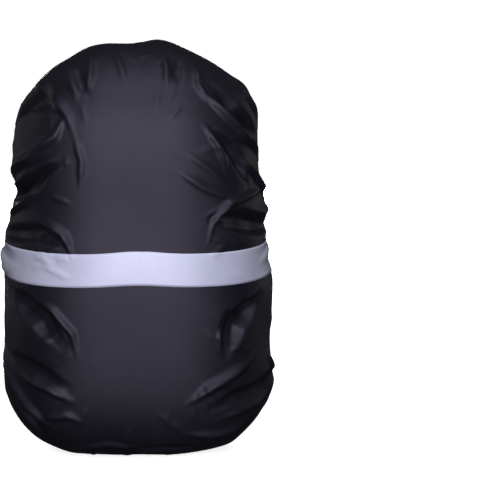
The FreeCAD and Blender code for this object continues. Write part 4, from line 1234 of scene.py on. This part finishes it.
    # Tape from the hem to the pouch.
    a, b = node_box("pouch_tape")
    mid, near, off = (a[0] + b[0]) / 2, a[1] + 0.6, b[1] - 0.6
    line = [(near, b[2]), (near, b[2] - 8), (near + 0.8, b[2] - 10.5), (off - 0.8, b[2] - 13)]
    line += [(off, b[2] - 15.5), (off, a[2])]
    line = even(round_off(np.array([[mid, y, z] for y, z in line]), 3), 1.0)
    tape = ribbon("pouch_hang_tape", line, (1, 0, 0), looks["webbing"], width=b[0] - a[0])
    belongs(tape, "cover", "webbing", "pouch_tape")


# ---- More materials ---------------------------------------------------------------------------------------------


def math_node(tree, operation, a, b=0.0, c=0.0):
    """The output of a math node that works on a, b and c."""
    return add(tree, "ShaderNodeMath", {"operation": operation}, i0=a, i1=b, i2=c).outputs[0]


def woven(name, low, high, rib, chevron, depth, rough=0.72, sheen=0.25):
    """Woven tape on its own UV: herringbone ribs of a pitch along it, in stripes of the chevron's width. Its colour is
    random tone and painted shade: darker in the rib valleys, lighter on the crests.
    """
    material, tree, shader = blank(name)
    place = add(tree, "ShaderNodeSeparateXYZ", Vector=add(tree, "ShaderNodeUVMap", {"uv_map": "cloth"}).outputs[0])
    along, across = place.outputs[0], place.outputs[1]
    zig = math_node(tree, "PINGPONG", math_node(tree, "ADD", across, 1.0), chevron * MM)
    phase = math_node(tree, "MULTIPLY", math_node(tree, "ADD", along, zig), 2 * math.pi / (rib * MM))
    ribs = span(tree, math_node(tree, "SINE", phase), -1.0, 1.0, 0.0, 1.0)
    where = object_place(tree)
    fuzz = noise(tree, where, 1400.0, 2.0)
    cloud = noise(tree, where, 40.0, 3.0)
    level = math_node(tree, "MULTIPLY_ADD", fuzz, 0.35, math_node(tree, "MULTIPLY", ribs, 0.65))
    level = math_node(tree, "MULTIPLY_ADD", cloud, 0.35, level)
    # Base colour follows the weave's height: random tone from fuzz and cloud, and painted shade, the rib valleys darker
    # and the crests lighter.
    tree.links.new(ramp(tree, level, [(0.15, low), (0.95, high)]), shader.inputs["Base Color"])
    bump = add(tree, "ShaderNodeBump", Strength=0.6, Distance=depth * MM, Height=level)
    tree.links.new(bump.outputs[0], shader.inputs["Normal"])
    shader.inputs["Roughness"].default_value = rough
    shader.inputs["Sheen Weight"].default_value = sheen
    shader.inputs["Specular IOR Level"].default_value = 0.35
    return material


def webbing_look():
    """Grey polypropylene webbing, 25 mm: a herringbone of 1.7 mm ribs, matt with a faint sheen on the yarn."""
    return woven("grey_polypropylene_webbing", "#858487", "#b7b6b9", 1.7, 3.1, 0.28)


def binding_look():
    """Darker grey grosgrain polyester: plain cross ribs, slightly shiny."""
    return woven("grey_grosgrain_polyester", "#4a494f", "#77767d", 1.3, 60.0, 0.25, 0.62)


def zip_tape_look():
    """Dark grey knitted polyester tape, fine and matt."""
    return woven("grey_knitted_zip_tape", "#4a4950", "#6a6970", 0.9, 1.6, 0.15, 0.8)


def acetal():
    """Grey moulded acetal: a low satin gloss with the faint grain of the mould."""
    material, tree, shader = blank("grey_moulded_acetal")
    where = object_place(tree)
    cloud = noise(tree, where, 60.0, 3.0)
    grain = noise(tree, where, 2200.0, 2.0)
    tree.links.new(ramp(tree, cloud, [(0.3, "#7b7b7e"), (0.7, "#868689")]), shader.inputs["Base Color"])
    tree.links.new(span(tree, grain, 0.3, 0.7, 0.34, 0.44), shader.inputs["Roughness"])
    bump = add(tree, "ShaderNodeBump", Strength=0.15, Distance=0.05 * MM, Height=grain)
    tree.links.new(bump.outputs[0], shader.inputs["Normal"])
    shader.inputs["Specular IOR Level"].default_value = 0.5
    return material


def thread_look():
    """Dark grey spun polyester sewing thread, matt and slightly twisted."""
    material, tree, shader = blank("grey_polyester_thread")
    where = object_place(tree)
    twist = noise(tree, where, 3000.0, 1.0)
    tree.links.new(ramp(tree, twist, [(0.35, "#3f3e44"), (0.65, "#5b5a61")]), shader.inputs["Base Color"])
    bump = add(tree, "ShaderNodeBump", Strength=0.5, Distance=0.1 * MM, Height=twist)
    tree.links.new(bump.outputs[0], shader.inputs["Normal"])
    shader.inputs["Roughness"].default_value = 0.75
    return material


def seam_tape_look():
    """Heat-bonded polyurethane film over a seam: pale grey, smooth and softly glossy."""
    material, tree, shader = blank("polyurethane_seam_tape")
    where = object_place(tree)
    cloud = noise(tree, where, 30.0, 4.0)
    tree.links.new(ramp(tree, cloud, [(0.3, "#b4b7bb"), (0.7, "#c8cbce")]), shader.inputs["Base Color"])
    tree.links.new(span(tree, cloud, 0.3, 0.7, 0.25, 0.38), shader.inputs["Roughness"])
    bump = add(tree, "ShaderNodeBump", Strength=0.3, Distance=0.6 * MM, Height=cloud)
    tree.links.new(bump.outputs[0], shader.inputs["Normal"])
    shader.inputs["Coat Weight"].default_value = 0.3
    return material


def pouch_cloth():
    """The same coated polyester in dark grey, with the soft creases of a pouch that is stuffed and emptied."""
    material, tree, shader = blank("dark_grey_coated_taffeta")
    where = object_place(tree)
    cloud = noise(tree, where, 16.0, 3.0)
    tree.links.new(ramp(tree, cloud, [(0.3, "#202027"), (0.7, "#2a2a32")]), shader.inputs["Base Color"])
    crush = noise(tree, where, 90.0, 5.0)
    weave = add(tree, "ShaderNodeTexChecker", Vector=where, Scale=900.0).outputs["Fac"]
    fine = add(tree, "ShaderNodeBump", Strength=0.08, Distance=0.2 * MM, Height=weave)
    coarse = add(tree, "ShaderNodeBump", Strength=0.3, Distance=0.8 * MM, Height=crush, Normal=fine.outputs[0])
    tree.links.new(coarse.outputs[0], shader.inputs["Normal"])
    tree.links.new(span(tree, cloud, 0.3, 0.7, 0.42, 0.5), shader.inputs["Roughness"])
    shader.inputs["Sheen Weight"].default_value = 0.2
    return material


def zip_nylon():
    """Grey nylon coil, semi-gloss."""
    material, tree, shader = blank("grey_nylon_zip_coil")
    where = object_place(tree)
    cloud = noise(tree, where, 300.0, 2.0)
    tree.links.new(ramp(tree, cloud, [(0.3, "#77767d"), (0.7, "#8c8b92")]), shader.inputs["Base Color"])
    tree.links.new(span(tree, cloud, 0.3, 0.7, 0.3, 0.4), shader.inputs["Roughness"])
    return material


def painted_zinc():
    """Die-cast zinc under grey paint: smooth, with fine wear to brighter metal along it."""
    material, tree, shader = blank("grey_painted_zinc")
    where = object_place(tree)
    wear = noise(tree, where, 700.0, 4.0, Roughness=0.7)
    tree.links.new(ramp(tree, wear, [(0.45, "#7d7d82"), (0.72, "#a9a9ad")]), shader.inputs["Base Color"])
    tree.links.new(span(tree, wear, 0.4, 0.7, 0.42, 0.28), shader.inputs["Roughness"])
    shader.inputs["Metallic"].default_value = 0.75
    return material


# ---- Assembly ---------------------------------------------------------------------------------------------------


def make_all():
    """Camera and stage, the finishes, then the pieces from the cloth outwards."""
    make_camera()
    make_stage()
    looks = {
        "cloth": coated_polyester(),
        "silver": silver_coating(),
        "band": retroreflective_tape(),
        "webbing": webbing_look(),
        "binding": binding_look(),
        "seam_tape": seam_tape_look(),
        "thread": thread_look(),
        "acetal": acetal(),
        "pouch": pouch_cloth(),
        "zip_tape": zip_tape_look(),
        "zip_coil": zip_nylon(),
        "zinc": painted_zinc(),
    }
    cloth = Cloth()
    make_cover(cloth, looks)
    make_band(cloth, looks)
    make_hem(cloth, looks)
    make_seams(cloth, looks)
    make_straps(looks)
    make_pouch(looks)


make_all()
